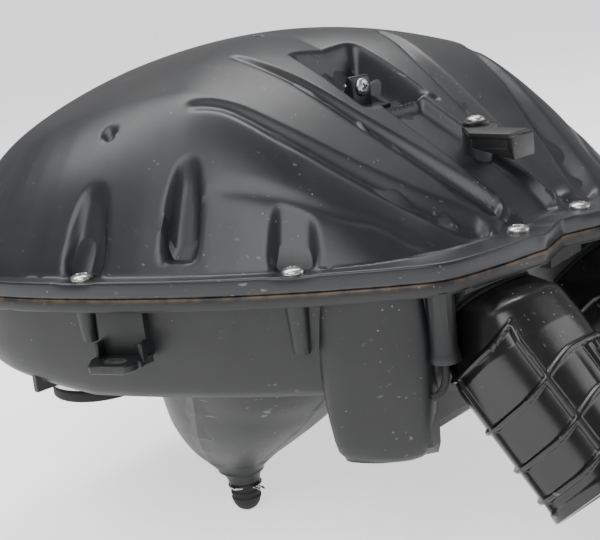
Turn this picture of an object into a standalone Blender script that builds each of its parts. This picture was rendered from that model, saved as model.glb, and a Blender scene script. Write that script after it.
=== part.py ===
"""Twin-duct air filter housing of a motorcycle, as an assembly of separate pieces.

Frame: +Z up, -Y towards the front of the vehicle, -X the vehicle's right.
The world origin is the centre of the outlet row, on the underside of the outlet plate.
All pieces are drawn in the joint frame: X and Y as the world's, but y = 0 at the front notch
and z = 0 at the top of the cover's rim. One parent empty carries that frame into the world.
Driving sizes are millimetres; MM turns them into metres.
"""
import math

import bmesh
import bpy
import numpy as np
from mathutils import Matrix, Vector

MM = 0.001

# ---- driving sizes, mm -------------------------------------------------------------------
GAP = 0.3                 # clearance between pieces that touch
WALL = 2.6                # moulded wall
DRAFT = 0.05              # slope of the cover's channel walls
RIM_T = 7.85              # cover rim thickness
SEAM_Z = -8.15            # top face of the case flange
FLANGE_Z = -14.0          # underside of the case flange
LEDGE = 7.0               # flange width outside the dome wall
FLOOR_Z = -60.0           # underside of the tub floor
SEAT_Y, SEAT_Z = 232.0, -64.0   # outlet row and outlet plate underside

NOTCH = [(0.0, 0.0), (-25.4, -8.3)]
SIDE = [(-31.6, -7.3), (-54.5, -5.5), (-81.4, 0.2), (-97, 14.2), (-110, 30), (-124.5, 49),
        (-147, 84), (-170, 130), (-187, 177), (-190.5, 214), (-177, 264), (-137, 292),
        (-76, 303), (0, 305)]

DOME_TOP, DOME_FALL_X, DOME_FALL_Y, DOME_MID_Y = 91.9, 16.6, 18.6, 173.0
FRONT_SLOPE, FRONT_START, SIDE_SLOPE = 0.623, 9.5, 1.65
TOP_BLEND, SIDE_BLEND = 21.0, 29.3

SCREW_PLACES = [(-24.6, 6.8), (-120.3, 54.4), (-167.4, 143.4), (-179.0, 232.0), (-67.0, 294.2)]
BOSS_TIPS = [-18.8, -36.4, -29.2, -33.6, -30.4]
SCREW_HEAD_R, SCREW_SHANK_R, SCREW_LENGTH = 5.3, 1.9, 16.0
POCKET_R = 9.5
NICHE_Z = -0.5            # floor of each screw's niche

OUTLET_XS = [-107.0, -36.0, 36.0, 107.0]
OUTLET_R = 23.0
BOOT_DROP = 22.0

DUCT_Y, DUCT_Z = 6.6, -30.0     # a point of the duct's axis
DUCT_PITCH = math.radians(48.5)
DUCT_FACE = -5.0          # the case's slanted face, along the duct's axis
DUCT_LENGTH = 92.0
FRONT_Y = 31.0            # front wall of the case below the ducts
# Duct sections: place on the axis, inner and outer side, underside and top.
DUCT_SECTIONS = [(-3.1, 22.5, 73.0, -26.0, 16.4), (9.0, 21.5, 75.0, -27.0, 26.0),
                 (24.0, 21.0, 79.0, -27.6, 27.0), (DUCT_LENGTH, 22.8, 77.4, -25.8, 25.2)]
CUP_X, CUP_Y = 82.0, 7.0  # hollow cup under the flange, beside each duct

SUMP = [(-54, 123, 62, 46), (-62, 124, 60, 45), (-77, 130, 52, 40), (-94, 139.5, 42, 33),
        (-105, 146, 33, 26), (-115, 151.5, 24, 18), (-122, 151, 15, 12), (-128, 148.5, 8.2, 8.2),
        (-131, 148, 7.6, 7.6)]
SUMP_X = -85.0

FILTER_Y0, FILTER_Y1, FILTER_HALF_W = 46.0, 178.0, 96.0
TRAY_Z = -17.6            # underside of the filter tray


# ---- small helpers -----------------------------------------------------------------------
def clear_scene():
    """Remove every object that the file starts with."""
    for obj in list(bpy.data.objects):
        bpy.data.objects.remove(obj, do_unlink=True)


def collection(name):
    """A new collection linked to the scene."""
    col = bpy.data.collections.new(name)
    bpy.context.scene.collection.children.link(col)
    return col


def material(name, colour, roughness, metallic=0.0):
    """A Principled BSDF with one colour, roughness and metallic value."""
    mat = bpy.data.materials.new(name)
    mat.use_nodes = True
    shader = mat.node_tree.nodes["Principled BSDF"]
    shader.inputs["Base Color"].default_value = (*colour, 1.0)
    shader.inputs["Roughness"].default_value = roughness
    shader.inputs["Metallic"].default_value = metallic
    return mat


def add_mesh(name, bm, mat=None, col=None, at=(0, 0, 0), cutter=False):
    """An object from a bmesh drawn in millimetres, placed in the joint frame."""
    bmesh.ops.recalc_face_normals(bm, faces=bm.faces[:])
    mesh = bpy.data.meshes.new(name)
    bm.to_mesh(mesh)
    bm.free()
    mesh.transform(Matrix.Scale(MM, 4))
    obj = bpy.data.objects.new(name, mesh)
    (CUTTERS if cutter else (col or PARTS)).objects.link(obj)
    obj.location = Vector(at) * MM
    obj.parent = JOINT_FRAME
    if cutter:
        obj.hide_render = True
        obj.display_type = "WIRE"
    else:
        mesh.materials.append(mat)
        mesh.shade_smooth()
        mesh.set_sharp_from_angle(angle=math.radians(35))
    return obj


def loft(bm, rings, pole_last=False):
    """Join rings of points into a closed skin; the last ring may be a single pole."""
    rows = [[bm.verts.new(p) for p in ring] for ring in rings]
    for low, high in zip(rows, rows[1:]):
        n = len(low)
        for i in range(n):
            j = (i + 1) % n
            if len(high) == 1:
                bm.faces.new((low[i], low[j], high[0]))
            else:
                bm.faces.new((low[i], low[j], high[j], high[i]))
    bm.faces.new(rows[0][::-1])
    if not pole_last:
        bm.faces.new(rows[-1])
    return bm


def prism(outline, z0, z1):
    """A straight prism on a plan outline."""
    return loft(bmesh.new(), [[(x, y, z0) for x, y in outline], [(x, y, z1) for x, y in outline]])


def side_prism(profile, x0, x1, draft=0.0):
    """A prism along X on a (y, z) profile, wider towards the top by its draft."""
    return loft(bmesh.new(), [[(x0 - draft * z, y, z) for y, z in profile],
                              [(x1 + draft * z, y, z) for y, z in profile]])


def box(x0, x1, y0, y1, z0, z1):
    """A box between two corners."""
    bm = bmesh.new()
    bmesh.ops.create_cube(bm, size=1.0)
    for v in bm.verts:
        v.co = Vector((x0 + (x1 - x0) * (v.co.x + 0.5), y0 + (y1 - y0) * (v.co.y + 0.5),
                       z0 + (z1 - z0) * (v.co.z + 0.5)))
    return bm


def cone(r0, r1, z0, z1, at=(0, 0), segments=20):
    """A cylinder or cone between two heights, r0 at z0 and r1 at z1."""
    bm = bmesh.new()
    bmesh.ops.create_cone(bm, cap_ends=True, segments=segments, radius1=r0, radius2=r1, depth=z1 - z0)
    bmesh.ops.translate(bm, verts=bm.verts, vec=(at[0], at[1], (z0 + z1) / 2))
    return bm


def turned(name, profile, mat, at=(0, 0, 0), steps=24, cutter=False):
    """A turned piece: an (r, z) profile down its outer side, swept by a Screw modifier."""
    mesh = bpy.data.meshes.new(name)
    count = len(profile)
    closed = abs(profile[0][0]) > 1e-6 or abs(profile[-1][0]) > 1e-6
    edges = [(i, i + 1) for i in range(count - 1)] + ([(count - 1, 0)] if closed else [])
    mesh.from_pydata([(r * MM, 0, z * MM) for r, z in profile], edges, [])
    obj = bpy.data.objects.new(name, mesh)
    (CUTTERS if cutter else PARTS).objects.link(obj)
    screw = obj.modifiers.new("turn", "SCREW")
    screw.steps = screw.render_steps = steps
    screw.use_merge_vertices = True
    screw.merge_threshold = 1e-5
    screw.use_smooth_shade = True
    screw.use_normal_calculate = False
    obj.location = Vector(at) * MM
    obj.parent = JOINT_FRAME
    if cutter:
        obj.hide_render = True
        obj.display_type = "WIRE"
    else:
        mesh.materials.append(mat)
    return obj


def boolean(obj, operation, *tools):
    """Add one exact Boolean modifier for each tool."""
    for tool in tools:
        mod = obj.modifiers.new(operation.lower(), "BOOLEAN")
        mod.operation = operation
        mod.solver = "EXACT"
        mod.object = tool


# ---- plan outline and dome ---------------------------------------------------------------
def smooth_points(points, steps):
    """Catmull-Rom curve through the points, with a number of steps for each span."""
    pts = np.array(points, float)
    pts = np.vstack([2 * pts[0] - pts[1], pts, 2 * pts[-1] - pts[-2]])
    out = []
    for i in range(1, len(pts) - 2):
        a, b, c, d = pts[i - 1:i + 3]
        for k in range(steps):
            t = k / steps
            out.append(0.5 * (2 * b + (c - a) * t + (2 * a - 5 * b + 4 * c - d) * t * t
                              + (3 * b - a - 3 * c + d) * t ** 3))
    out.append(pts[-2])
    return out


def plan_outline(steps=2):
    """The whole flange outline, from the notch round the right side and back."""
    half = [np.array(p) for p in NOTCH] + smooth_points(SIDE, steps)
    mirror = [np.array((-x, y)) for x, y in half[-2:0:-1]]
    return np.array(half + mirror)


def inset(outline, distance):
    """The outline drawn in towards the middle, so that its walls move by the distance."""
    chord = np.roll(outline, -1, 0) - np.roll(outline, 1, 0)
    normal = np.stack([-chord[:, 1], chord[:, 0]], 1) / np.linalg.norm(chord, axis=1)[:, None]
    inward = np.array((0.0, 160.0)) - outline
    inward /= np.linalg.norm(inward, axis=1)[:, None]
    square = np.abs((normal * inward).sum(1))
    return outline + inward * (distance / np.maximum(square, 0.75))[:, None]


def depth_inside(x, y):
    """Distance of a point from the flange's edge."""
    a, b = OUTLINE, np.roll(OUTLINE, -1, 0)
    e = b - a
    p = np.array((x, y))
    t = np.clip(((p - a) * e).sum(1) / (e * e).sum(1), 0, 1)
    return float(np.min(np.linalg.norm(p - (a + t[:, None] * e), axis=1)))


def smooth_min(a, b, k):
    """The smaller of two heights, blended over k millimetres."""
    h = min(max(0.5 + 0.5 * (b - a) / k, 0.0), 1.0)
    return b * (1 - h) + a * h - k * h * (1 - h)


def dome_height(x, y, skin=0.0):
    """Height of the cover's outside, or of its inside when skin is the wall thickness."""
    crown = DOME_TOP - DOME_FALL_X * (x / 100) ** 2 - DOME_FALL_Y * ((y - DOME_MID_Y) / 100) ** 2
    spread = (abs(x) - 30) / 35
    spread_near = (min(abs(x), 90) - 30) / 35
    front = (FRONT_SLOPE + 0.07 * spread) * (y - FRONT_START - 7.5 * spread_near) + 4
    side = SIDE_SLOPE * (depth_inside(x, y) - LEDGE - skin)
    return max(smooth_min(smooth_min(crown, front, TOP_BLEND), side, SIDE_BLEND), 0.0) - skin


def dome_rings(scales, skin=0.0):
    """Rings of the dome's surface, each the outline drawn in towards the middle."""
    middle = np.array((0.0, 160.0))
    rings = []
    for s in scales:
        if s == 0:
            rings.append([(0.0, 160.0, dome_height(0.0, 160.0, skin))])
        else:
            pts = middle + (OUTLINE - middle) * s
            rings.append([(x, y, dome_height(x, y, skin)) for x, y in pts])
    return rings


# ---- cover -------------------------------------------------------------------------------
def pocket_outline(place, radius, reach=22.0):
    """A half-round niche open towards the rim's outside."""
    x, y = place
    ahead = OUTLINE[np.argmin(np.linalg.norm(OUTLINE - np.array(place), axis=1))] - np.array(place)
    turn = math.atan2(ahead[1], ahead[0])
    pts = []
    for k in range(9):
        a = turn + math.pi / 2 + math.pi * k / 8
        pts.append((x + radius * math.cos(a), y + radius * math.sin(a)))
    for side in (-1, 1):
        a = turn + side * math.pi / 2
        pts.append((x + radius * math.cos(a) + reach * math.cos(turn),
                    y + radius * math.sin(a) + reach * math.sin(turn)))
    return pts


def trough_profile(y0, y1, depth, skin=0.0, steps=7):
    """Side profile of a channel cut along the middle of the dome."""
    floor = []
    for k in range(steps + 1):
        y = y0 + (y1 - y0) * k / steps
        floor.append((y, max(dome_height(0, y) - depth, 0.6) - skin))
    return floor + [(y1, 120.0), (y0, 120.0)]


def build_cover():
    """Domed cover: outside less niches and channels, less the inside."""
    scales = [0.955, 0.93, 0.895, 0.84, 0.74, 0.58, 0.36, 0.14, 0]
    rim = [[(x, y, -RIM_T) for x, y in OUTLINE], [(x, y, 0.0) for x, y in OUTLINE]]
    cover = add_mesh("upper_cover", loft(bmesh.new(), rim + dome_rings(scales), True), DOME_PLASTIC)

    lower = inset(OUTLINE, LEDGE + WALL + 0.3)
    inner = [[(x, y, -20.0) for x, y in lower], [(x, y, -WALL) for x, y in lower]]
    inner_scales = [0.92, 0.87, 0.78, 0.62, 0.4, 0.16, 0]
    cavity = add_mesh("cover_cavity", loft(bmesh.new(), inner + dome_rings(inner_scales, WALL), True),
                      cutter=True)
    for n, place in enumerate(SCREW_ALL):
        keep = add_mesh(f"niche_wall_{n}", prism(pocket_outline(place, POCKET_R + WALL), -30, 110), cutter=True)
        niche = add_mesh(f"niche_{n}", prism(pocket_outline(place, POCKET_R), NICHE_Z, 110), cutter=True)
        boolean(cavity, "DIFFERENCE", keep)
        boolean(cover, "DIFFERENCE", niche)
    for n, (half, y0, y1, deep) in enumerate([(13, 13, 91, 6), (21, 95, 139, 17)]):
        keep = add_mesh(f"channel_wall_{n}", side_prism(trough_profile(y0 - WALL, y1 + WALL, deep, WALL),
                                                        -half - WALL, half + WALL, DRAFT), cutter=True)
        channel = add_mesh(f"channel_{n}", side_prism(trough_profile(y0, y1, deep), -half, half, DRAFT), cutter=True)
        boolean(cavity, "DIFFERENCE", keep)
        boolean(cover, "DIFFERENCE", channel)
    boolean(cover, "DIFFERENCE", cavity)
    for n, bm in enumerate([cone(7.5, 6.5, 18, SENSOR_BOSS_Z, SENSOR_SCREW_AT, 24),
                              box(-7, 7, 117, 122, LUG_Z - 18, LUG_Z + 6)]):
        boolean(cover, "UNION", add_mesh(f"cover_boss_{n}", bm, cutter=True))
    for n, place in enumerate(SCREW_ALL):
        boolean(cover, "DIFFERENCE", add_mesh(f"cover_hole_{n}", cone(2.3, 2.3, -20, 5, place, 10), cutter=True))
    boolean(cover, "DIFFERENCE",
            add_mesh("sensor_pilot", cone(1.6, 1.6, SENSOR_BOSS_Z - 9, SENSOR_BOSS_Z + 5, SENSOR_SCREW_AT, 12),
                     cutter=True))
    pilot = cone(2.0, 2.0, -20, 20, (0, 0), 12)
    bmesh.ops.rotate(pilot, verts=pilot.verts, matrix=Matrix.Rotation(math.radians(90), 3, "X"))
    bmesh.ops.translate(pilot, verts=pilot.verts, vec=(0, 119, LUG_Z))
    boolean(cover, "DIFFERENCE", add_mesh("lug_hole", pilot, cutter=True))


def screw_profile(head_r, shank_r, length):
    """Truss head over a plain shank, seated at z = 0."""
    return [(0, 2.6), (head_r * 0.6, 2.1), (head_r, GAP), (shank_r, GAP), (shank_r, -length + 2), (0, -length)]


def build_cover_screws():
    """Ten flange screws, numbered right side then left side, from the front."""
    for n, (x, y) in enumerate(SCREW_ALL, 1):
        turned(f"cover_screw_{n:02d}", screw_profile(SCREW_HEAD_R, SCREW_SHANK_R, SCREW_LENGTH), ZINC,
               (x, y, NICHE_Z), 10)


def build_sensor():
    """Air temperature sensor in the front channel, and the hose lug's screw behind it."""
    x, y = SENSOR_SCREW_AT
    top = SENSOR_BOSS_Z
    body = add_mesh("air_temperature_sensor", prism([(-8, 18), (8, 18), (8, 44), (x + 7, 47), (x + 7, y + 6),
                                                     (x - 7, y + 6), (-8, 44)], top + GAP, top + 4), SENSOR_PLASTIC)
    slope = [(18.5, 10.5), (24, 13), (43, top - 5), (43, top + 2), (18.5, top + 2)]
    block = add_mesh("sensor_socket", side_prism(slope, -7.5, 7.5), cutter=True)
    boolean(body, "UNION", block)
    boolean(body, "DIFFERENCE", add_mesh("sensor_hole", cone(2.1, 2.1, top - 5, top + 10, (x, y), 12), cutter=True))
    boolean(body, "DIFFERENCE", add_mesh("sensor_mouth", box(-5, 5, 10, 34, top - 8, top - 1), cutter=True))
    turned("sensor_screw", screw_profile(4.5, 1.4, 8), ZINC, (x, y, top + 4 + GAP), 10)
    screw = turned("lug_screw", screw_profile(4.2, 1.7, 14), ZINC, (0, 116.7, LUG_Z), 10)
    screw.rotation_euler = (math.radians(90), 0, 0)


# ---- case --------------------------------------------------------------------------------
def rise(x, y):
    """How far the tub's outer lower edge climbs towards the rear corners."""
    return 0.19 * max(y - 152, 0) * min(max((abs(x) - 110) / 50, 0), 1)


def tub_rings(distance, top, skin):
    """Rings of the tub from its top edge down to its floor, offset inwards."""
    levels = [(distance, top), (distance + 1.5, -36.0), (distance + 4, FLOOR_Z + 7), (distance + 12, FLOOR_Z + 0.6)]
    rings = []
    for d, z in levels:
        lift = 1.0 if z < -40 else 0.0
        rings.append([(x, y, z + lift * rise(x, y) + (skin if z < -50 else 0)) for x, y in inset(OUTLINE, d)])
    floor_ring = [(x, y, FLOOR_Z + skin) for x, y in inset(OUTLINE, distance + 26)]
    return rings + [floor_ring]


def front_block(skin):
    """Deep front part of the case, with a leg at each outer corner."""
    half = [(0, FRONT_Y), (-76, FRONT_Y), (-80, 14), (-90, 12.5), (-102, 21), (-112, 38), (-113, 50), (-99, 55),
            (-82, 72), (0, 78)]
    loop = np.array(half + [(-x, y) for x, y in half[-2:0:-1]], float)
    middle = np.array((0.0, 52.0))
    rings = []
    for shrink, z in [(skin, -40.0), (skin + 0.5, -60.0), (skin + 3.0, -84.0 + skin), (skin + 8.0, -89.0 + skin)]:
        away = middle - loop
        length = np.linalg.norm(away, axis=1)[:, None]
        pts = loop + away / length * np.minimum(shrink * 1.3, length * 0.4)
        rings.append([(x, y, z) for x, y in pts])
    return rings


def sump_rings(skin, steps=18):
    """Funnel under the right-hand side, drawn down to the drain neck."""
    rings = []
    for z, y, half_y, half_x in SUMP:
        ring = []
        for k in range(steps):
            a = 2 * math.pi * k / steps
            ring.append((SUMP_X + (half_x - skin) * math.cos(a), y + (half_y - skin) * math.sin(a), z))
        rings.append(ring)
    return rings


def face_point(z):
    """Where the slanted face is at a height, as y."""
    return DUCT_Y - (DUCT_FACE + (z - DUCT_Z) * math.sin(DUCT_PITCH)) / math.cos(DUCT_PITCH)


def wedge(offset):
    """The space for the ducts in front of the case's slanted face."""
    top = -15.0 + offset
    away = offset / math.cos(DUCT_PITCH)
    foot_z = -15.0 - (FRONT_Y - face_point(-15.0) + offset - away) / math.tan(DUCT_PITCH)
    profile = [(-40, top), (face_point(top) + away, top), (FRONT_Y + offset, foot_z), (FRONT_Y + offset, -110),
               (-40, -110)]
    return side_prism(profile, -80 - offset, 80 + offset)


def duct_section(along):
    """Inner and outer side, underside and top of the duct at a place on its axis."""
    rows = np.array(DUCT_SECTIONS)
    return [float(np.interp(along, rows[:, 0], rows[:, k])) for k in range(1, 5)]


def duct_ring(side, along, inset_by=0.0, section=None, steps=28, power=3.2):
    """One rounded-square section of a duct; side is -1 for the right, 1 for the left."""
    inner, outer, low, high = section or duct_section(along)
    axis = Vector((0, -math.cos(DUCT_PITCH), -math.sin(DUCT_PITCH)))
    height = Vector((0, -math.sin(DUCT_PITCH), math.cos(DUCT_PITCH)))
    ring = []
    for k in range(steps):
        a = 2 * math.pi * k / steps
        c, s = math.cos(a), math.sin(a)
        u = math.copysign(abs(c) ** (2 / power), c) * ((outer - inner) / 2 - inset_by)
        v = math.copysign(abs(s) ** (2 / power), s) * ((high - low) / 2 - inset_by)
        middle = Vector((side * (inner + outer) / 2, DUCT_Y, DUCT_Z))
        ring.append(middle + Vector((u, 0, 0)) + axis * along + height * (v + (low + high) / 2))
    return ring


def duct_bore(side, stations, inset_by):
    """Closed solid of a duct's passage through the stations on its axis."""
    return loft(bmesh.new(), [duct_ring(side, a, inset_by) for a in stations])


def duct_mouth(side):
    """Closed solid that opens the slanted face to the duct, below the filter tray."""
    return loft(bmesh.new(), [duct_ring(side, a, section=(26.5, 69.0, -21.0, 8.0)) for a in (-9.0, 0.0)])


def build_case():
    """Lower case: tub, deep front, sump, outlet plate, bosses, side tabs and divider."""
    flange = [[(x, y, SEAM_Z) for x, y in OUTLINE], [(x, y, FLANGE_Z) for x, y in OUTLINE]]
    case = add_mesh("lower_case", loft(bmesh.new(), flange + tub_rings(LEDGE, FLANGE_Z, 0.0)), CASE_PLASTIC)
    corner = [(140, -18), (124, -30), (-124, -30), (-140, -18), (-140, 18), (-124, 30), (124, 30), (140, 18)]
    outlets = prism([(x, SEAT_Y + y) for x, y in corner], SEAT_Z, FLOOR_Z + 1.2)
    boolean(case, "UNION",
            add_mesh("front_block", loft(bmesh.new(), front_block(0.0)), cutter=True),
            add_mesh("sump", loft(bmesh.new(), sump_rings(0.0) + nipple_rings()), cutter=True),
            add_mesh("outlet_plate", outlets, cutter=True),
            add_mesh("duct_face_right", box(-77, -17, face_point(-15.0) - 0.1, 14, -46, -13), cutter=True),
            add_mesh("duct_face_left", box(17, 77, face_point(-15.0) - 0.1, 14, -46, -13), cutter=True))
    boolean(case, "DIFFERENCE", add_mesh("duct_space", wedge(0.0), cutter=True))

    cavity = add_mesh("tub_cavity", loft(bmesh.new(), [[(x, y, 5.0) for x, y in inset(OUTLINE, LEDGE + WALL)]]
                                         + tub_rings(LEDGE + WALL, FLANGE_Z, WALL)), cutter=True)
    boolean(cavity, "UNION",
            add_mesh("front_block_inside", loft(bmesh.new(), front_block(WALL)), cutter=True),
            add_mesh("sump_inside", loft(bmesh.new(), sump_rings(WALL)), cutter=True))
    boolean(cavity, "DIFFERENCE", add_mesh("duct_space_wall", wedge(WALL), cutter=True))
    boolean(case, "DIFFERENCE", cavity)

    divider = [(x, y) for x, y in inset(OUTLINE, LEDGE + WALL * 0.5) if y < 186]
    boolean(case, "UNION", add_mesh("filter_tray", prism(divider, TRAY_Z, TRAY_Z + 3), cutter=True))
    for n, (place, tip) in enumerate(zip(SCREW_ALL, BOSS_TIPS * 2)):
        boolean(case, "UNION", add_mesh(f"screw_boss_{n}", cone(3.9, 5.3, tip, SEAM_Z - 1, place, 12), cutter=True))
    for side in (-1, 1):
        for n, bm in enumerate([prism(tab_strip(side), -36, SEAM_Z - 1), prism(tab_plate(side), -37.5, -34.0),
                                cone(6.0, 6.4, -44, FLANGE_Z + 1, (side * CUP_X, CUP_Y), 14)]):
            boolean(case, "UNION", add_mesh(f"side_feature_{side}_{n}", bm, cutter=True))
        slot = prism(slot_outline(side), -60, -30)
        boolean(case, "DIFFERENCE",
                add_mesh(f"tab_slot_{side}", slot, cutter=True),
                add_mesh(f"cup_{side}", cone(4.7, 4.6, -44.6, FLANGE_Z - 2, (side * CUP_X, CUP_Y), 14), cutter=True),
                add_mesh(f"duct_hole_{side}", duct_mouth(side), cutter=True))
    boolean(case, "UNION", add_mesh("divider_wall", divider_wall(), cutter=True))
    boolean(case, "DIFFERENCE",
            add_mesh("filter_opening", box(-88, 88, FILTER_Y0 + 10, FILTER_Y1 - 10, TRAY_Z - 4, TRAY_Z + 8), cutter=True),
            add_mesh("drain_bore", cone(3.2, 3.2, -150, -124, (SUMP_X, 148), 16), cutter=True))
    for n, x in enumerate(OUTLET_XS):
        boolean(case, "DIFFERENCE", add_mesh(f"outlet_hole_{n}", cone(OUTLET_R + 1.5, OUTLET_R + 1.5, -80, -40,
                                                                     (x, SEAT_Y), 20), cutter=True))
    for n, place in enumerate(SCREW_ALL):
        boolean(case, "DIFFERENCE", add_mesh(f"case_hole_{n}", cone(2.2, 2.2, -17.2, 5, place, 10), cutter=True))
    groove = ring_solid(1.2, 3.8, SEAM_Z - 2.2, SEAM_Z + 3)
    boolean(case, "DIFFERENCE", add_mesh("seal_groove", groove, cutter=True))


def nipple_rings(steps=18):
    """Stepped end of the drain neck that the cap pushes on to."""
    rings = []
    for radius, z in [(5.2, -131.01), (5.2, -141.0)]:
        rings.append([(SUMP_X + radius * math.cos(2 * math.pi * k / steps),
                       148 + radius * math.sin(2 * math.pi * k / steps), z) for k in range(steps)])
    return rings


def divider_wall():
    """Upright wall between the dirty front chamber and the clean rear chamber."""
    half = 0.0
    for x, y in inset(OUTLINE, LEDGE + WALL * 0.5):
        if abs(y - 184) < 12:
            half = max(half, abs(x))
    return box(-half + 6, half - 6, 183.0, 186.0, FLOOR_Z + 1.0, TRAY_Z + 3)


def tab_axes(side):
    """Place and directions of the side tab: along the flange and outwards."""
    a, b = np.array((-158.0, 106.0)), np.array((-170.0, 130.0))
    along = (b - a) / np.linalg.norm(b - a)
    out = np.array((-along[1], along[0]))
    mirror = np.array((-side, 1.0))
    return np.array((-161.5, 124.0)) * mirror, along * mirror, out * mirror


def tab_strip(side):
    """Plan of the strip that hangs from the flange."""
    at, along, out = tab_axes(side)
    return [tuple(at + along * u + out * v) for u, v in [(-11, -4), (11, -4), (11, 3.5), (-11, 3.5)]]


def tab_plate(side):
    """Plan of the flat tab at the strip's foot, with a rounded tip."""
    at, along, out = tab_axes(side)
    pts = [(-13, 2), (12, 2), (12, 10)]
    for k in range(7):
        a = math.radians(0 + 180 * k / 6)
        pts.append((1 + 10.5 * math.cos(a), 12 + 7 * math.sin(a)))
    return [tuple(at + along * u + out * v) for u, v in pts]


def slot_outline(side):
    """Plan of the tab's slotted hole."""
    at, along, out = tab_axes(side)
    pts = []
    for centre, first in ((4.0, -90), (-2.0, 90)):
        for k in range(7):
            a = math.radians(first + 180 * k / 6)
            pts.append((centre + 3.2 * math.cos(a), 12.5 + 3.2 * math.sin(a)))
    return [tuple(at + along * u + out * v) for u, v in pts]


def ring_solid(d0, d1, z0, z1):
    """A ring that follows the flange between two insets and two heights."""
    outer, inner = inset(OUTLINE, d0), inset(OUTLINE, d1)
    bm = bmesh.new()
    rows = [[bm.verts.new((x, y, z)) for x, y in pts]
            for pts, z in ((outer, z0), (outer, z1), (inner, z1), (inner, z0))]
    n = len(outer)
    for low, high in zip(rows, rows[1:] + rows[:1]):
        for i in range(n):
            j = (i + 1) % n
            bm.faces.new((low[i], low[j], high[j], high[i]))
    return bm


# ---- ducts, outlets, filter and drain ----------------------------------------------------
def build_ducts():
    """Two ram-air ducts, each with a foam seal between it and the case."""
    root = DUCT_SECTIONS[0][0]
    for side, word in ((-1, "right"), (1, "left")):
        stations = [root, 2.0, 9.0, 16.0, 24.0, 58.0, DUCT_LENGTH]
        duct = add_mesh(f"intake_duct_{word}", duct_bore(side, stations, 0.0), DUCT_PLASTIC)
        bore = duct_bore(side, [root - 3, 2.0, 9.0, 24.0, DUCT_LENGTH + 5], WALL)
        boolean(duct, "DIFFERENCE", add_mesh(f"duct_bore_{word}", bore, cutter=True))
        seal = add_mesh(f"duct_seal_{word}", duct_bore(side, [DUCT_FACE + GAP, root - GAP], 0.2), FOAM)
        boolean(seal, "DIFFERENCE",
                add_mesh(f"seal_bore_{word}", duct_bore(side, [DUCT_FACE - 3, root + 3], 4.2), cutter=True))


def build_outlets():
    """Velocity stacks inside, rubber boots and clamps outside, for four throttle bodies."""
    r = OUTLET_R
    floor_top = FLOOR_Z + WALL
    for n, x in enumerate(OUTLET_XS, 1):
        tall = 30.0 if abs(x) < 80 else 22.0
        stack = [(r + 5, floor_top + GAP + 3.0), (r + 5, floor_top + GAP), (r + 1.0, floor_top + GAP),
                 (r + 1.0, SEAT_Z + 2), (r - 1.2, SEAT_Z + 2), (r - 1.2, floor_top + tall - 8),
                 (r + 7, floor_top + tall), (r + 1.0, floor_top + tall - 9), (r + 1.0, floor_top + GAP + 3.0)]
        turned(f"velocity_stack_{n}", stack, STACK_PLASTIC, (x, SEAT_Y, 0), 18)
        top = SEAT_Z - GAP
        boot = [(r + 7, top), (r + 7, top - 3), (r + 4, top - 4), (r + 3, top - 9),
                (r + 3, top - 16), (r + 4, top - 17), (r + 4, top - BOOT_DROP), (r, top - BOOT_DROP), (r, top)]
        turned(f"throttle_boot_{n}", boot, RUBBER, (x, SEAT_Y, 0), 18)
        low, high = top - 15.5, top - 9.5
        clamp = turned(f"boot_clamp_{n}", [(r + 4.3, high), (r + 4.3, low), (r + 3.3, low), (r + 3.3, high)], ZINC,
                       (x, SEAT_Y, 0), 18)
        lug = add_mesh(f"clamp_lug_{n}", box(-4, 4, r + 3.6, r + 9.5, low + 0.5, high - 0.5), at=(x, SEAT_Y, 0),
                       cutter=True)
        boolean(clamp, "UNION", lug)


def pleat_outline(y0, y1, z0, z1, count):
    """Zigzag section of folded paper, closed into a thin sheet."""
    top, bottom = [], []
    for k in range(count * 2 + 1):
        y = y0 + (y1 - y0) * k / (count * 2)
        z = z1 if k % 2 else z0
        top.append((y, z + 0.9))
        bottom.append((y, z - 0.9))
    return top + bottom[::-1]


def build_filter():
    """Panel filter: gasket, frame, pleated paper, backfire screen and four screws."""
    seat = TRAY_Z + 3 + GAP
    w, y0, y1 = FILTER_HALF_W, FILTER_Y0, FILTER_Y1
    gasket = add_mesh("filter_gasket", box(-w, w, y0, y1, seat, seat + 1.8), FOAM)
    boolean(gasket, "DIFFERENCE", add_mesh("gasket_opening", box(-w + 8, w - 8, y0 + 8, y1 - 8, seat - 2, seat + 4),
                                           cutter=True))
    low = seat + 1.8 + GAP
    frame = add_mesh("filter_frame", box(-w, w, y0, y1, low, low + 3), FRAME_PLASTIC)
    boolean(frame, "UNION", add_mesh("frame_wall", box(-w + 6, w - 6, y0 + 6, y1 - 6, low + 1, low + 24), cutter=True))
    boolean(frame, "DIFFERENCE", add_mesh("frame_window", box(-w + 8.5, w - 8.5, y0 + 8.5, y1 - 8.5, low - 4, low + 40),
                                          cutter=True))
    add_mesh("filter_pleats", side_prism(pleat_outline(y0 + 10, y1 - 10, low + 3, low + 18, 13), -w + 9, w - 9), PAPER)
    add_mesh("backfire_screen", box(-w + 9, w - 9, y0 + 9, y1 - 9, low + 21, low + 22), STEEL_MESH)
    corners = [(-w + 3.2, y0 + 3.2), (w - 3.2, y0 + 3.2), (-w + 3.2, y1 - 3.2), (w - 3.2, y1 - 3.2)]
    for n, at in enumerate(corners, 1):
        for target in (gasket, frame):
            boolean(target, "DIFFERENCE", add_mesh(f"filter_hole_{n}_{target.name}", cone(1.8, 1.8, -60, 30, at, 10),
                                                   cutter=True))
        boolean(bpy.data.objects["lower_case"], "DIFFERENCE",
                add_mesh(f"tray_hole_{n}", cone(1.8, 1.8, TRAY_Z - 2, TRAY_Z + 6, at, 10), cutter=True))
        turned(f"filter_screw_{n}", screw_profile(2.7, 1.4, 9), ZINC, (*at, low + 3), 8)


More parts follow.
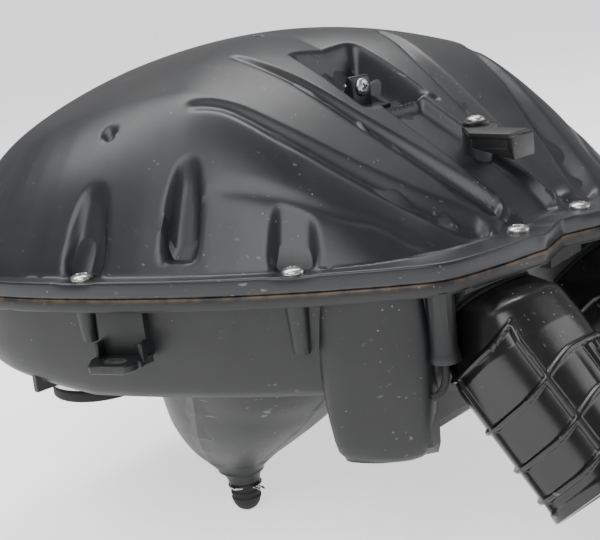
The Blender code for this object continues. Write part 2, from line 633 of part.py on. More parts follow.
def build_seal_and_drain():
    """Joint seal in the case's groove, the drain cap and its wire clip, and the vent tube."""
    add_mesh("joint_seal", ring_solid(1.6, 3.4, SEAM_Z - 1.8, SEAM_Z), RUBBER)
    cap = [(0, -142.5), (5.5, -142.0), (5.5, -131.4), (7.6, -131.4), (7.8, -135), (7.4, -141), (5.6, -145),
           (2.5, -146.8), (0, -147.2)]
    turned("drain_cap", cap, RUBBER, (SUMP_X, 148, 0), 20)
    clip = [(9.1, -132.2), (9.1, -134.0), (8.15, -134.0), (8.15, -132.2)]
    turned("drain_clip", clip, ZINC, (SUMP_X, 148, 0), 20)


def build_vent_tube():
    """Thin tube from the right-hand cup to the case front, as a bevelled curve."""
    x, y = -CUP_X, CUP_Y
    route = smooth_points([(x, y, -18), (x, y, -44), (x - 0.5, y + 0.2, -53), (x - 2.5, y + 2, -58.5),
                           (x - 5, y + 4.6, -60.5)], 4)
    curve = bpy.data.curves.new("vent_tube", "CURVE")
    curve.dimensions = "3D"
    spline = curve.splines.new("POLY")
    spline.points.add(len(route) - 1)
    for point, place in zip(spline.points, route):
        point.co = (*(Vector(place) * MM), 1)
    curve.bevel_depth = 1.8 * MM
    curve.bevel_resolution = 2
    curve.use_fill_caps = True
    curve.materials.append(RUBBER)
    tube = bpy.data.objects.new("vent_tube", curve)
    PARTS.objects.link(tube)
    tube.parent = JOINT_FRAME


# ---- assembly ----------------------------------------------------------------------------
clear_scene()
PARTS = collection("air_filter_housing")
CUTTERS = collection("cutters")
JOINT_FRAME = bpy.data.objects.new("joint_frame", None)
PARTS.objects.link(JOINT_FRAME)
JOINT_FRAME.location = Vector((0, -SEAT_Y, -SEAT_Z)) * MM

DOME_PLASTIC = material("dome_plastic", (0.045, 0.047, 0.053), 0.38)
CASE_PLASTIC = material("case_plastic", (0.035, 0.035, 0.038), 0.55)
DUCT_PLASTIC = material("duct_plastic", (0.02, 0.02, 0.022), 0.25)
SENSOR_PLASTIC = material("sensor_plastic", (0.05, 0.05, 0.052), 0.5)
STACK_PLASTIC = material("stack_plastic", (0.03, 0.03, 0.03), 0.35)
FRAME_PLASTIC = material("frame_plastic", (0.04, 0.04, 0.04), 0.6)
RUBBER = material("rubber", (0.02, 0.02, 0.02), 0.8)
FOAM = material("foam", (0.03, 0.03, 0.03), 0.95)
PAPER = material("filter_paper", (0.62, 0.5, 0.28), 0.9)
STEEL_MESH = material("steel_mesh", (0.5, 0.5, 0.5), 0.4, 1.0)
ZINC = material("zinc", (0.62, 0.6, 0.56), 0.35, 1.0)

OUTLINE = plan_outline()
SCREW_ALL = SCREW_PLACES + [(-x, y) for x, y in SCREW_PLACES]
SENSOR_SCREW_AT = (12.0, 55.0)
SENSOR_BOSS_Z = dome_height(12, 55) + 4.0
LUG_Z = dome_height(0, 119) - 8.0

build_cover()
build_cover_screws()
build_sensor()
build_case()
build_ducts()
build_outlets()
build_filter()
build_seal_and_drain()
build_vent_tube()
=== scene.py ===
"""Look of a twin-duct air filter housing: cover, case, ducts, filter and fittings.

Shapes are drawn in millimetres in the joint frame, with y = 0 at the flange's front notch and
z = 0 on top of the cover's rim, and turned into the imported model's metres when a mesh is made.
"""
from __future__ import annotations

import logging
import math
from dataclasses import dataclass
from enum import Enum

import bpy
import numpy as np
from mathutils import Matrix, Vector

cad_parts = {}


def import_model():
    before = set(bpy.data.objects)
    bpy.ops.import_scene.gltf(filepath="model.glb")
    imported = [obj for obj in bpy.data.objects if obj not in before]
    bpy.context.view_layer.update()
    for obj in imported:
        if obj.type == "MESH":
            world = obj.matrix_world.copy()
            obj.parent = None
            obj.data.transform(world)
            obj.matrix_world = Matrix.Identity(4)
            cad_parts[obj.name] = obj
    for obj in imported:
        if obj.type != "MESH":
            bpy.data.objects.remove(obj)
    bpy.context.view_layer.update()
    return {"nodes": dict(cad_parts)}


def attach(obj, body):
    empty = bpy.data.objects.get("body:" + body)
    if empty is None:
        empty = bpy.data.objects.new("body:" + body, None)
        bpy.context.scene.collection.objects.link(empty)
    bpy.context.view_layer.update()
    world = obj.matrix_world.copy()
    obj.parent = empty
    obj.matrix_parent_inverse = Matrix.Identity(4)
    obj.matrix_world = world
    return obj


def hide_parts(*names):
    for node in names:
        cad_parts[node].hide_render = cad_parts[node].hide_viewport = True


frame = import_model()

LOG = logging.getLogger("air_filter_housing")
MM = 0.001
SHIFT = np.array((0.0, -232.0, 64.0))

WALL = 2.6
RIM_T = 7.85
SEAM_Z, FLANGE_Z = -8.15, -14.0
LEDGE = 7.0
NICHE_Z = -0.5
FLOOR_Z, TRAY_Z, SEAT_Y, SEAT_Z = -60.0, -17.6, 232.0, -64.0
SCREWS = [(-24.6, 6.8), (-120.3, 54.4), (-167.4, 143.4), (-179.0, 232.0), (-67.0, 294.2)]
BOSS_TIPS = [-18.8, -36.4, -29.2, -33.6, -30.4]


class Body(Enum):
    """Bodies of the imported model."""

    CASE = "case"
    COVER = "cover"
    COVER_SCREWS = "cover_screws"
    FILTER = "filter"
    FILTER_SCREWS = "filter_screws"
    DRAIN_CAP = "drain_cap"


class Ends(Enum):
    """How a loft is closed at its two ends."""

    CAPS = "caps"
    FLAT = "flat"
    LOOP = "loop"


# ---- meshes ------------------------------------------------------------------------------
def world(points: np.ndarray) -> np.ndarray:
    """Turn joint-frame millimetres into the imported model's metres."""
    return (np.asarray(points, float) + SHIFT) * MM


def new_object(name: str, points: np.ndarray, faces: list, angle: float = 40.0) -> bpy.types.Object:
    """Make a smooth-shaded object at the origin.

    Args:
        name: The object's name.
        points: Vertices in metres.
        faces: Vertex indices of each face.
        angle: Edges sharper than this many degrees stay sharp.

    Returns:
        The linked object.
    """
    mesh = bpy.data.meshes.new(name)
    mesh.from_pydata(np.asarray(points).tolist(), [], faces)
    mesh.validate()
    mesh.shade_smooth()
    mesh.set_sharp_from_angle(angle=math.radians(angle))
    obj = bpy.data.objects.new(name, mesh)
    bpy.context.scene.collection.objects.link(obj)
    return obj


def loft_data(rings: np.ndarray, ends: Ends) -> tuple[np.ndarray, list]:
    """Skin a stack of closed rings, with faces that point outwards.

    Args:
        rings: Array of rings by points by 3, in millimetres.
        ends: Fans over both ends, one flat face over each, or the last ring joined to the first.

    Returns:
        The points and the faces.
    """
    rings = np.asarray(rings, float)
    rows, n = rings.shape[:2]
    index = np.arange(rows * n).reshape(rows, n)
    low = index if ends is Ends.LOOP else index[:-1]
    high = np.roll(index, -1, 0) if ends is Ends.LOOP else index[1:]
    quads = np.stack([low, np.roll(low, -1, 1), np.roll(high, -1, 1), high], -1).reshape(-1, 4)
    points, faces = rings.reshape(-1, 3), quads.tolist()
    if ends is Ends.CAPS:
        points = np.vstack([points, rings[0].mean(0), rings[-1].mean(0)])
        first, last = rows * n, rows * n + 1
        for i in range(n):
            j = (i + 1) % n
            faces.append([first, int(index[0, j]), int(index[0, i])])
            faces.append([last, int(index[-1, i]), int(index[-1, j])])
    if ends is Ends.FLAT:
        faces += [index[0, ::-1].tolist(), index[-1].tolist()]
    a, b, c, d = (points[quads[:, k]] for k in range(4))
    volume = np.einsum("ij,ij->", a, np.cross(b, c)) + np.einsum("ij,ij->", a, np.cross(c, d))
    if volume < 0:
        faces = [face[::-1] for face in faces]
    return points, faces


def loft(name: str, rings: np.ndarray, ends: Ends = Ends.CAPS, angle: float = 40.0) -> bpy.types.Object:
    """Make an object from rings drawn in joint-frame millimetres."""
    points, faces = loft_data(rings, ends)
    return new_object(name, world(points), faces, angle)


def revolve(name: str, profile: list, at: tuple, steps: int = 64, closed: bool = False,
            angle: float = 32.0) -> bpy.types.Object:
    """Turn an (r, z) profile about a vertical axis.

    Args:
        name: The object's name.
        profile: Radii and heights in millimetres, heights from the joint frame.
        at: The axis's x and y.
        steps: Facets around.
        closed: Whether the profile closes on itself, as a ring's does.
        angle: Edges sharper than this many degrees stay sharp.

    Returns:
        The object.
    """
    turn = np.linspace(0, 2 * math.pi, steps, endpoint=False)
    rings = [[(at[0] + max(r, 1e-3) * math.cos(a), at[1] + max(r, 1e-3) * math.sin(a), z) for a in turn]
             for r, z in profile]
    return loft(name, rings, Ends.LOOP if closed else Ends.CAPS, angle)


def prism(name: str, outline: list, low: float, high: float, axis: str = "z",
          bevel: float = 0.6) -> bpy.types.Object:
    """Extrude an outline between two places and round its edges.

    Args:
        name: The object's name.
        outline: (x, y) points, or (y, z) points for an extrusion along x.
        low: Where it starts.
        high: Where it ends.
        axis: "z" or "x".
        bevel: Width of the rounded edges in millimetres.

    Returns:
        The object, with its bevel baked.
    """
    rings = []
    for level in (low, high):
        rings.append([(a, b, level) if axis == "z" else (level, a, b) for a, b in outline])
    points = world(np.array(rings).reshape(-1, 3))
    n = len(outline)
    faces = [[i, (i + 1) % n, n + (i + 1) % n, n + i] for i in range(n)]
    faces += [list(range(n))[::-1], list(range(n, 2 * n))]
    area = sum(outline[i][0] * outline[(i + 1) % n][1] - outline[(i + 1) % n][0] * outline[i][1]
               for i in range(n))
    if area < 0:
        faces = [face[::-1] for face in faces]
    obj = new_object(name, points, faces)
    if bevel:
        rounding = obj.modifiers.new("rounding", "BEVEL")
        rounding.width = bevel * MM
        rounding.segments = 3
        rounding.limit_method = "ANGLE"
        bake(obj)
    return obj


def bake(obj: bpy.types.Object) -> bpy.types.Object:
    """Turn an object's live modifiers into plain mesh."""
    bpy.context.view_layer.update()
    graph = bpy.context.evaluated_depsgraph_get()
    mesh = bpy.data.meshes.new_from_object(obj.evaluated_get(graph))
    obj.modifiers.clear()
    obj.data = mesh
    mesh.shade_smooth()
    mesh.set_sharp_from_angle(angle=math.radians(35))
    return obj


def merge(name: str, parts: list[bpy.types.Object]) -> bpy.types.Object:
    """Join several closed meshes into one object."""
    points, faces, start = [], [], 0
    for part in parts:
        mesh = part.data
        points += [tuple(v.co) for v in mesh.vertices]
        faces += [[start + i for i in face.vertices] for face in mesh.polygons]
        start += len(mesh.vertices)
        bpy.data.objects.remove(part)
    return new_object(name, points, faces, 35)


def dress(obj: bpy.types.Object, body: Body, material: bpy.types.Material, slot: str,
          *replaced: str) -> bpy.types.Object:
    """Give a finished piece its material and its body, and hide the nodes it stands for."""
    obj.data.materials.clear()
    obj.data.materials.append(material)
    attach(obj, body.value)
    if replaced:
        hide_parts(*replaced)
    LOG.info("%s: %d faces on %s", obj.name, len(obj.data.polygons), body.value)
    return obj


# ---- nodes -------------------------------------------------------------------------------
def linear(code: str) -> tuple[float, float, float, float]:
    """Turn an sRGB hex colour into linear RGBA."""
    out = []
    for k in (0, 2, 4):
        v = int(code.lstrip("#")[k:k + 2], 16) / 255
        out.append(v / 12.92 if v <= 0.04045 else ((v + 0.055) / 1.055) ** 2.4)
    return (*out, 1.0)


def add_node(tree: bpy.types.NodeTree, kind: str, settings: dict | None = None,
             inputs: dict | None = None) -> bpy.types.Node:
    """Add a node with its settings; an input that is a socket is linked, any other is a value.

    Args:
        tree: The node tree.
        kind: The node's type name.
        settings: Properties of the node.
        inputs: Values or output sockets by input name or index.

    Returns:
        The node.
    """
    made = tree.nodes.new(kind)
    for key, value in (settings or {}).items():
        setattr(made, key, value)
    for key, value in (inputs or {}).items():
        socket = made.inputs[key]
        if isinstance(value, bpy.types.NodeSocket):
            tree.links.new(value, socket)
        else:
            socket.default_value = value
    return made


class Instancer:
    """Geometry Nodes that put copies of a template on a cloud of points."""

    def __init__(self) -> None:
        """Build the tree once, with named inputs."""
        tree = bpy.data.node_groups.new("copies_on_points", "GeometryNodeTree")
        face = tree.interface
        face.new_socket("Geometry", in_out="INPUT", socket_type="NodeSocketGeometry")
        for label, kind in (("Template", "NodeSocketObject"), ("Size", "NodeSocketFloat"),
                            ("Turn Spread", "NodeSocketFloat"), ("Seed", "NodeSocketInt"),
                            ("Material", "NodeSocketMaterial")):
            face.new_socket(label, in_out="INPUT", socket_type=kind)
        face.new_socket("Geometry", in_out="OUTPUT", socket_type="NodeSocketGeometry")
        given = add_node(tree, "NodeGroupInput")
        template = add_node(tree, "GeometryNodeObjectInfo", inputs={"Object": given.outputs["Template"]})
        low = add_node(tree, "ShaderNodeMath", {"operation": "MULTIPLY"},
                       {0: given.outputs["Turn Spread"], 1: -1.0})
        chance = add_node(tree, "FunctionNodeRandomValue", {"data_type": "FLOAT"},
                          {"Min": low.outputs[0], "Max": given.outputs["Turn Spread"],
                           "Seed": given.outputs["Seed"]})
        turn = add_node(tree, "GeometryNodeInputNamedAttribute", {"data_type": "FLOAT_VECTOR"},
                        {"Name": "turn"})
        stretch = add_node(tree, "GeometryNodeInputNamedAttribute", {"data_type": "FLOAT_VECTOR"},
                           {"Name": "stretch"})
        spin = add_node(tree, "ShaderNodeCombineXYZ", inputs={"Z": chance.outputs["Value"]})
        local = add_node(tree, "FunctionNodeEulerToRotation", inputs={0: spin.outputs[0]})
        whole = add_node(tree, "FunctionNodeEulerToRotation", inputs={0: turn.outputs["Attribute"]})
        both = add_node(tree, "FunctionNodeRotateRotation", {"rotation_space": "LOCAL"},
                        {0: whole.outputs[0], 1: local.outputs[0]})
        size = add_node(tree, "ShaderNodeVectorMath", {"operation": "SCALE"},
                        {0: stretch.outputs["Attribute"], "Scale": given.outputs["Size"]})
        spots = add_node(tree, "GeometryNodeMeshToPoints", inputs={"Mesh": given.outputs["Geometry"]})
        copies = add_node(tree, "GeometryNodeInstanceOnPoints", inputs={
            "Points": spots.outputs["Points"], "Instance": template.outputs["Geometry"],
            "Rotation": both.outputs[0], "Scale": size.outputs[0]})
        real = add_node(tree, "GeometryNodeRealizeInstances", inputs={0: copies.outputs[0]})
        painted = add_node(tree, "GeometryNodeSetMaterial",
                           inputs={"Geometry": real.outputs[0], "Material": given.outputs["Material"]})
        add_node(tree, "NodeGroupOutput", inputs={"Geometry": painted.outputs[0]})
        self.tree = tree

    def place(self, name: str, template: bpy.types.Object, places: list, material: bpy.types.Material,
              turns: list | None = None, stretches: list | None = None, spread: float = 0.0,
              seed: int = 7) -> bpy.types.Object:
        """Copy the template to every place, bake the result and remove the template.

        Args:
            name: The new object's name.
            template: An object drawn in metres about its own origin.
            places: Joint-frame places in millimetres.
            material: The material of the copies.
            turns: Euler angles of each copy.
            stretches: Scales of each copy.
            spread: Largest random turn about the copy's own axis, in radians.
            seed: Seed of the random turns.

        Returns:
            The baked object, at the origin.
        """
        mesh = bpy.data.meshes.new(name)
        mesh.from_pydata(world(np.array(places)).tolist(), [], [])
        for label, rows in (("turn", turns or [(0, 0, 0)] * len(places)),
                            ("stretch", stretches or [(1, 1, 1)] * len(places))):
            attribute = mesh.attributes.new(label, "FLOAT_VECTOR", "POINT")
            attribute.data.foreach_set("vector", np.array(rows, np.float32).ravel())
        obj = bpy.data.objects.new(name, mesh)
        bpy.context.scene.collection.objects.link(obj)
        nodes = obj.modifiers.new("copies", "NODES")
        nodes.node_group = self.tree
        values = {"Template": template, "Size": 1.0, "Turn Spread": spread, "Seed": seed,
                  "Material": material}
        for item in self.tree.interface.items_tree:
            if item.in_out == "INPUT" and item.name in values:
                nodes[item.identifier] = values[item.name]
        bake(obj)
        bpy.data.objects.remove(template)
        return obj


# ---- finishes ----------------------------------------------------------------------------
@dataclass(frozen=True)
class Finish:
    """A finish made by one process; sizes are real, in millimetres."""

    name: str
    colour: str
    roughness: float
    metallic: float = 0.0
    ior: float = 1.5
    grain_mm: float = 0.5
    grain_depth: float = 0.05
    patch_mm: float = 40.0
    patch_colour: str = "#000000"
    patch_amount: float = 0.0
    rough_spread: float = 0.05
    dust: float = 0.0
    dust_colour: str = "#85807a"
    specks: float = 0.0
    scratches: float = 0.0
    seam: float = 0.0
    coat: float = 0.0

    def build(self) -> bpy.types.Material:
        """Build the node tree of this finish."""
        mat = bpy.data.materials.new(self.name)
        mat.use_nodes = True
        tree = mat.node_tree
        shader = tree.nodes["Principled BSDF"]
        shader.inputs["Metallic"].default_value = self.metallic
        shader.inputs["IOR"].default_value = self.ior
        shader.inputs["Coat Weight"].default_value = self.coat
        place = add_node(tree, "ShaderNodeTexCoord").outputs["Object"]
        patches = self.noise(tree, place, self.patch_mm, 5.0)
        colour = self.mixed(tree, self.scaled(tree, patches, 0.35, 0.75, self.patch_amount),
                            linear(self.colour), linear(self.patch_colour))
        rough = add_node(tree, "ShaderNodeMapRange", inputs={
            "Value": patches, "From Min": 0.3, "From Max": 0.7,
            "To Min": self.roughness - self.rough_spread,
            "To Max": self.roughness + self.rough_spread}).outputs["Result"]
        if self.dust:
            colour, rough = self.dusted(tree, place, colour, rough)
        if self.specks:
            colour = self.specked(tree, place, colour)
        if self.scratches:
            colour, rough = self.scratched(tree, place, colour, rough)
        if self.seam:
            colour = self.seamed(tree, place, colour)
        tree.links.new(colour, shader.inputs["Base Color"])
        tree.links.new(rough, shader.inputs["Roughness"])
        grain = self.noise(tree, place, self.grain_mm, 2.0)
        bump = add_node(tree, "ShaderNodeBump", inputs={
            "Height": grain, "Strength": 0.6, "Distance": self.grain_depth * MM})
        tree.links.new(bump.outputs["Normal"], shader.inputs["Normal"])
        return mat

    @staticmethod
    def noise(tree: bpy.types.NodeTree, place: bpy.types.NodeSocket, size_mm: float,
              detail: float) -> bpy.types.NodeSocket:
        """Noise with features of a real size."""
        made = add_node(tree, "ShaderNodeTexNoise", inputs={
            "Vector": place, "Scale": 1000.0 / size_mm, "Detail": detail, "Roughness": 0.6})
        return made.outputs["Fac"]

    @staticmethod
    def scaled(tree: bpy.types.NodeTree, value: bpy.types.NodeSocket, low: float, high: float,
               top: float) -> bpy.types.NodeSocket:
        """Map a range of a value to 0 and a top value."""
        made = add_node(tree, "ShaderNodeMapRange", {"interpolation_type": "SMOOTHSTEP"}, {
            "Value": value, "From Min": low, "From Max": high, "To Min": 0.0, "To Max": top})
        return made.outputs["Result"]

    @staticmethod
    def mixed(tree: bpy.types.NodeTree, amount: bpy.types.NodeSocket, one: object,
              other: object) -> bpy.types.NodeSocket:
        """Mix two colours."""
        made = add_node(tree, "ShaderNodeMix", {"data_type": "RGBA"}, {0: amount, 6: one, 7: other})
        return made.outputs[2]

    @staticmethod
    def product(tree: bpy.types.NodeTree, one: bpy.types.NodeSocket, other: object) -> bpy.types.NodeSocket:
        """Multiply two values."""
        return add_node(tree, "ShaderNodeMath", {"operation": "MULTIPLY"}, {0: one, 1: other}).outputs[0]

    def dusted(self, tree: bpy.types.NodeTree, place: bpy.types.NodeSocket, colour: bpy.types.NodeSocket,
               rough: bpy.types.NodeSocket) -> tuple[bpy.types.NodeSocket, bpy.types.NodeSocket]:
        """A thin film of dust where the surface faces up, wiped unevenly."""
        normal = add_node(tree, "ShaderNodeNewGeometry").outputs["Normal"]
        up = add_node(tree, "ShaderNodeSeparateXYZ", inputs={0: normal}).outputs["Z"]
        facing = self.scaled(tree, up, 0.0, 1.0, 1.0)
        wiped = self.scaled(tree, self.noise(tree, place, 55.0, 8.0), 0.38, 0.68, self.dust)
        film = self.product(tree, facing, wiped)
        rougher = add_node(tree, "ShaderNodeMath", {"operation": "MULTIPLY_ADD"},
                           {0: film, 1: 0.6, 2: rough}).outputs[0]
        return self.mixed(tree, film, colour, linear(self.dust_colour)), rougher

    def specked(self, tree: bpy.types.NodeTree, place: bpy.types.NodeSocket,
                colour: bpy.types.NodeSocket) -> bpy.types.NodeSocket:
        """Pale dust specks of about half a millimetre, gathered in clouds."""
        cells = add_node(tree, "ShaderNodeTexVoronoi", inputs={"Vector": place, "Scale": 1000.0 / 4.5})
        dots = self.scaled(tree, cells.outputs["Distance"], 0.11, 0.05, 1.0)
        clouds = self.scaled(tree, self.noise(tree, place, 30.0, 3.0), 0.5, 0.62, self.specks)
        return self.mixed(tree, self.product(tree, dots, clouds), colour, linear("#a8a39b"))

    def scratched(self, tree: bpy.types.NodeTree, place: bpy.types.NodeSocket, colour: bpy.types.NodeSocket,
                  rough: bpy.types.NodeSocket) -> tuple[bpy.types.NodeSocket, bpy.types.NodeSocket]:
        """Fine pale scuffs, drawn out along two directions."""
        lines = None
        for angle, gap in ((0.5, 2.2), (-0.9, 3.1)):
            turned = add_node(tree, "ShaderNodeMapping", inputs={
                "Vector": place, "Rotation": (0.3, 0.2, angle), "Scale": (1.0, 0.05, 1.0)}).outputs[0]
            streak = self.scaled(tree, self.noise(tree, turned, gap, 1.0), 0.7, 0.78, 1.0)
            lines = streak if lines is None else add_node(
                tree, "ShaderNodeMath", {"operation": "MAXIMUM"}, {0: lines, 1: streak}).outputs[0]
        worn = self.scaled(tree, self.noise(tree, place, 48.0, 2.0), 0.5, 0.66, self.scratches)
        marks = self.product(tree, lines, worn)
        rougher = add_node(tree, "ShaderNodeMath", {"operation": "MULTIPLY_ADD"},
                           {0: marks, 1: 0.3, 2: rough}).outputs[0]
        return self.mixed(tree, marks, colour, linear("#8f8d8b")), rougher

    def seamed(self, tree: bpy.types.NodeTree, place: bpy.types.NodeSocket,
               colour: bpy.types.NodeSocket) -> bpy.types.NodeSocket:
        """Brown road dust that sits along the seam between cover and case."""
        height = add_node(tree, "ShaderNodeSeparateXYZ", inputs={0: place}).outputs["Z"]
        off = add_node(tree, "ShaderNodeMath", {"operation": "SUBTRACT"},
                       {0: height, 1: (SEAM_Z + SHIFT[2]) * MM}).outputs[0]
        away = add_node(tree, "ShaderNodeMath", {"operation": "ABSOLUTE"}, {0: off}).outputs[0]
        near = self.scaled(tree, away, 2.2 * MM, 0.1 * MM, self.seam)
        broken = self.scaled(tree, self.noise(tree, place, 9.0, 4.0), 0.36, 0.6, 1.0)
        return self.mixed(tree, self.product(tree, near, broken), colour, linear("#6d5b45"))


# Injection-moulded polypropylene from a spark-eroded tool: a satin charcoal with a soft blue
# sheen, wiped dust and fine scuffs.
COVER_PP = Finish("moulded_polypropylene_cover", "#17191d", 0.36, ior=1.49, grain_mm=0.6, grain_depth=0.03,
                  patch_mm=60, patch_colour="#1c1e23", patch_amount=0.7, rough_spread=0.05, dust=0.05,
                  specks=0.5, scratches=0.35, seam=0.35)
# The same plastic from a plainer tool: flatter and darker, with more dust.
CASE_PP = Finish("moulded_polypropylene_case", "#111214", 0.47, ior=1.49, grain_mm=0.8, grain_depth=0.05,
                 patch_mm=35, patch_colour="#17181a", patch_amount=0.8, rough_spread=0.07, dust=0.08,
                 dust_colour="#7b756c", specks=0.4, scratches=0.3, seam=0.4)
# Blow-moulded polyethylene: the blown skin is glossy and slightly wavy.
DUCT_PE = Finish("blow_moulded_polyethylene_duct", "#0b0b0c", 0.22, ior=1.5, grain_mm=3.5, grain_depth=0.08,
                 patch_mm=25, patch_colour="#111112", patch_amount=0.6, rough_spread=0.06, dust=0.04,
                 specks=0.5, scratches=0.25)
# Glass-filled nylon of a connector housing: dull black.
SENSOR_PA = Finish("glass_filled_nylon", "#0e0f10", 0.45, ior=1.53, grain_mm=0.4, grain_depth=0.04,
                   dust=0.08, specks=0.4, scratches=0.15)
# Polished-tool polypropylene of the bell mouths.
STACK_PP = Finish("smooth_polypropylene_stack", "#1a1a1c", 0.28, ior=1.49, grain_mm=0.5, grain_depth=0.02)
FRAME_PP = Finish("moulded_filter_frame", "#1d1e20", 0.55, ior=1.49, grain_mm=0.7, grain_depth=0.05, dust=0.06)
# Compression-moulded nitrile rubber: matte with a pale bloom.
RUBBER_NBR = Finish("nitrile_rubber", "#0f0f10", 0.72, ior=1.52, grain_mm=0.5, grain_depth=0.08,
                    patch_mm=12, patch_colour="#1b1b1c", patch_amount=0.6, dust=0.08)
# Closed-cell neoprene foam: fine open pores on its cut faces.
FOAM_CR = Finish("neoprene_foam", "#1e1e20", 0.92, ior=1.45, grain_mm=0.9, grain_depth=0.25, rough_spread=0.04)
# Resin-treated filter paper: tan, fibrous, browner where the oil has gathered.
PAPER_OILED = Finish("oiled_filter_paper", "#c2a468", 0.88, ior=1.46, grain_mm=0.7, grain_depth=0.12,
                     patch_mm=22, patch_colour="#a3834a", patch_amount=0.8, specks=0.3)
# Woven stainless gauze, bright where the wires turn to the light.
GAUZE_STEEL = Finish("stainless_gauze", "#a9abad", 0.34, metallic=1.0, grain_mm=0.6, grain_depth=0.02)
# Zinc plate with yellow-blue passivation, which shows as a warm and cold drift.
ZINC_PLATE = Finish("zinc_plated_steel", "#c9c6bd", 0.3, metallic=1.0, grain_mm=0.4, grain_depth=0.02,
                    patch_mm=4, patch_colour="#98a3b8", patch_amount=0.8, rough_spread=0.1)


@dataclass
class Palette:
    """All the materials, built once."""

    cover: bpy.types.Material
    case: bpy.types.Material
    duct: bpy.types.Material
    sensor: bpy.types.Material
    stack: bpy.types.Material
    frame: bpy.types.Material
    rubber: bpy.types.Material
    foam: bpy.types.Material
    paper: bpy.types.Material
    gauze: bpy.types.Material
    zinc: bpy.types.Material

    @classmethod
    def make(cls) -> "Palette":
        """Build every finish."""
        made = (COVER_PP, CASE_PP, DUCT_PE, SENSOR_PA, STACK_PP, FRAME_PP, RUBBER_NBR, FOAM_CR,
                PAPER_OILED, GAUZE_STEEL, ZINC_PLATE)
        return cls(*(finish.build() for finish in made))


# ---- the flange outline and the dome -------------------------------------------------------
@dataclass
class Outline:
    """Plan of the flange, from the front notch round the right side and the back."""

    notch: tuple = ((0.0, 0.0), (-25.4, -8.3))
    side: tuple = ((-31.6, -7.3), (-54.5, -5.5), (-81.4, 0.2), (-97, 14.2), (-110, 30), (-124.5, 49),
                   (-147, 84), (-170, 130), (-187, 177), (-190.5, 214), (-177, 264), (-137, 292),
                   (-76, 303), (0, 305))
    middle: tuple = (0.0, 160.0)

    def corners(self, steps: int) -> np.ndarray:
        """Smooth the side's points and mirror them.

        Args:
            steps: Points for each span of the curve.

        Returns:
            The closed outline.
        """
        pts = np.array(self.side, float)
        pts = np.vstack([2 * pts[0] - pts[1], pts, 2 * pts[-1] - pts[-2]])
        curve = []
        for i in range(1, len(pts) - 2):
            a, b, c, d = pts[i - 1:i + 3]
            for t in np.linspace(0, 1, steps, endpoint=False):
                curve.append(0.5 * (2 * b + (c - a) * t + (2 * a - 5 * b + 4 * c - d) * t * t
                                    + (3 * b - a - 3 * c + d) * t ** 3))
        half = np.vstack([np.array(self.notch), curve, pts[-2]])
        return np.vstack([half, half[-2:0:-1] * (-1, 1)])

    def even(self, count: int) -> np.ndarray:
        """The outline as evenly spaced points."""
        pts = self.corners(10)
        loop = np.vstack([pts, pts[:1]])
        along = np.concatenate([[0], np.cumsum(np.linalg.norm(np.diff(loop, axis=0), axis=1))])
        at = np.linspace(0, along[-1], count, endpoint=False)
        return np.stack([np.interp(at, along, loop[:, k]) for k in (0, 1)], 1)

    def inset(self, pts: np.ndarray, distance: float) -> np.ndarray:
        """Draw points in towards the middle so that the walls move by a distance."""
        chord = np.roll(pts, -2, 0) - np.roll(pts, 2, 0)
        normal = np.stack([-chord[:, 1], chord[:, 0]], 1)
        normal /= np.linalg.norm(chord, axis=1)[:, None]
        inward = np.array(self.middle) - pts
        inward /= np.linalg.norm(inward, axis=1)[:, None]
        square = np.abs((normal * inward).sum(1))
        square = (np.roll(square, 1) + square + np.roll(square, -1)) / 3
        return pts + inward * (distance / np.maximum(square, 0.75))[:, None]

    def depth(self, x: np.ndarray, y: np.ndarray) -> np.ndarray:
        """Distance of points from the flange's edge."""
        a = self.corners(3)
        e = np.roll(a, -1, 0) - a
        best = np.full(x.shape, 1e9)
        for (ax, ay), (ex, ey) in zip(a, e):
            t = np.clip(((x - ax) * ex + (y - ay) * ey) / (ex * ex + ey * ey), 0, 1)
            best = np.minimum(best, np.hypot(x - ax - t * ex, y - ay - t * ey))
        return best


def smooth_min(a: np.ndarray, b: np.ndarray, k: float) -> np.ndarray:
    """The smaller of two heights, blended over k millimetres."""
    h = np.clip(0.5 + 0.5 * (b - a) / k, 0, 1)
    return b * (1 - h) + a * h - k * h * (1 - h)


def smooth_step(value: np.ndarray, low: float, high: float) -> np.ndarray:
    """0 below low, 1 above high, smooth between; low may be the larger."""
    t = np.clip((value - low) / (high - low), 0, 1)
    return t * t * (3 - 2 * t)


def smoothed(line: tuple | list, steps: int = 5) -> list:
    """A line's corners with a smooth curve's points between them.

    Args:
        line: Corners in two or three dimensions.
        steps: Points for each leg of the line.

    Returns:
        The curve's points, ending on the last corner.
    """
    pts = np.array(line, float)
    ends = np.vstack([2 * pts[0] - pts[1], pts, 2 * pts[-1] - pts[-2]])
    path = [0.5 * (2 * b + (c - a) * t + (2 * a - 5 * b + 4 * c - d) * t * t + (3 * b - a - 3 * c + d) * t ** 3)
            for a, b, c, d in zip(ends, ends[1:], ends[2:], ends[3:]) for t in np.linspace(0, 1, steps, endpoint=False)]
    return path + [pts[-1]]


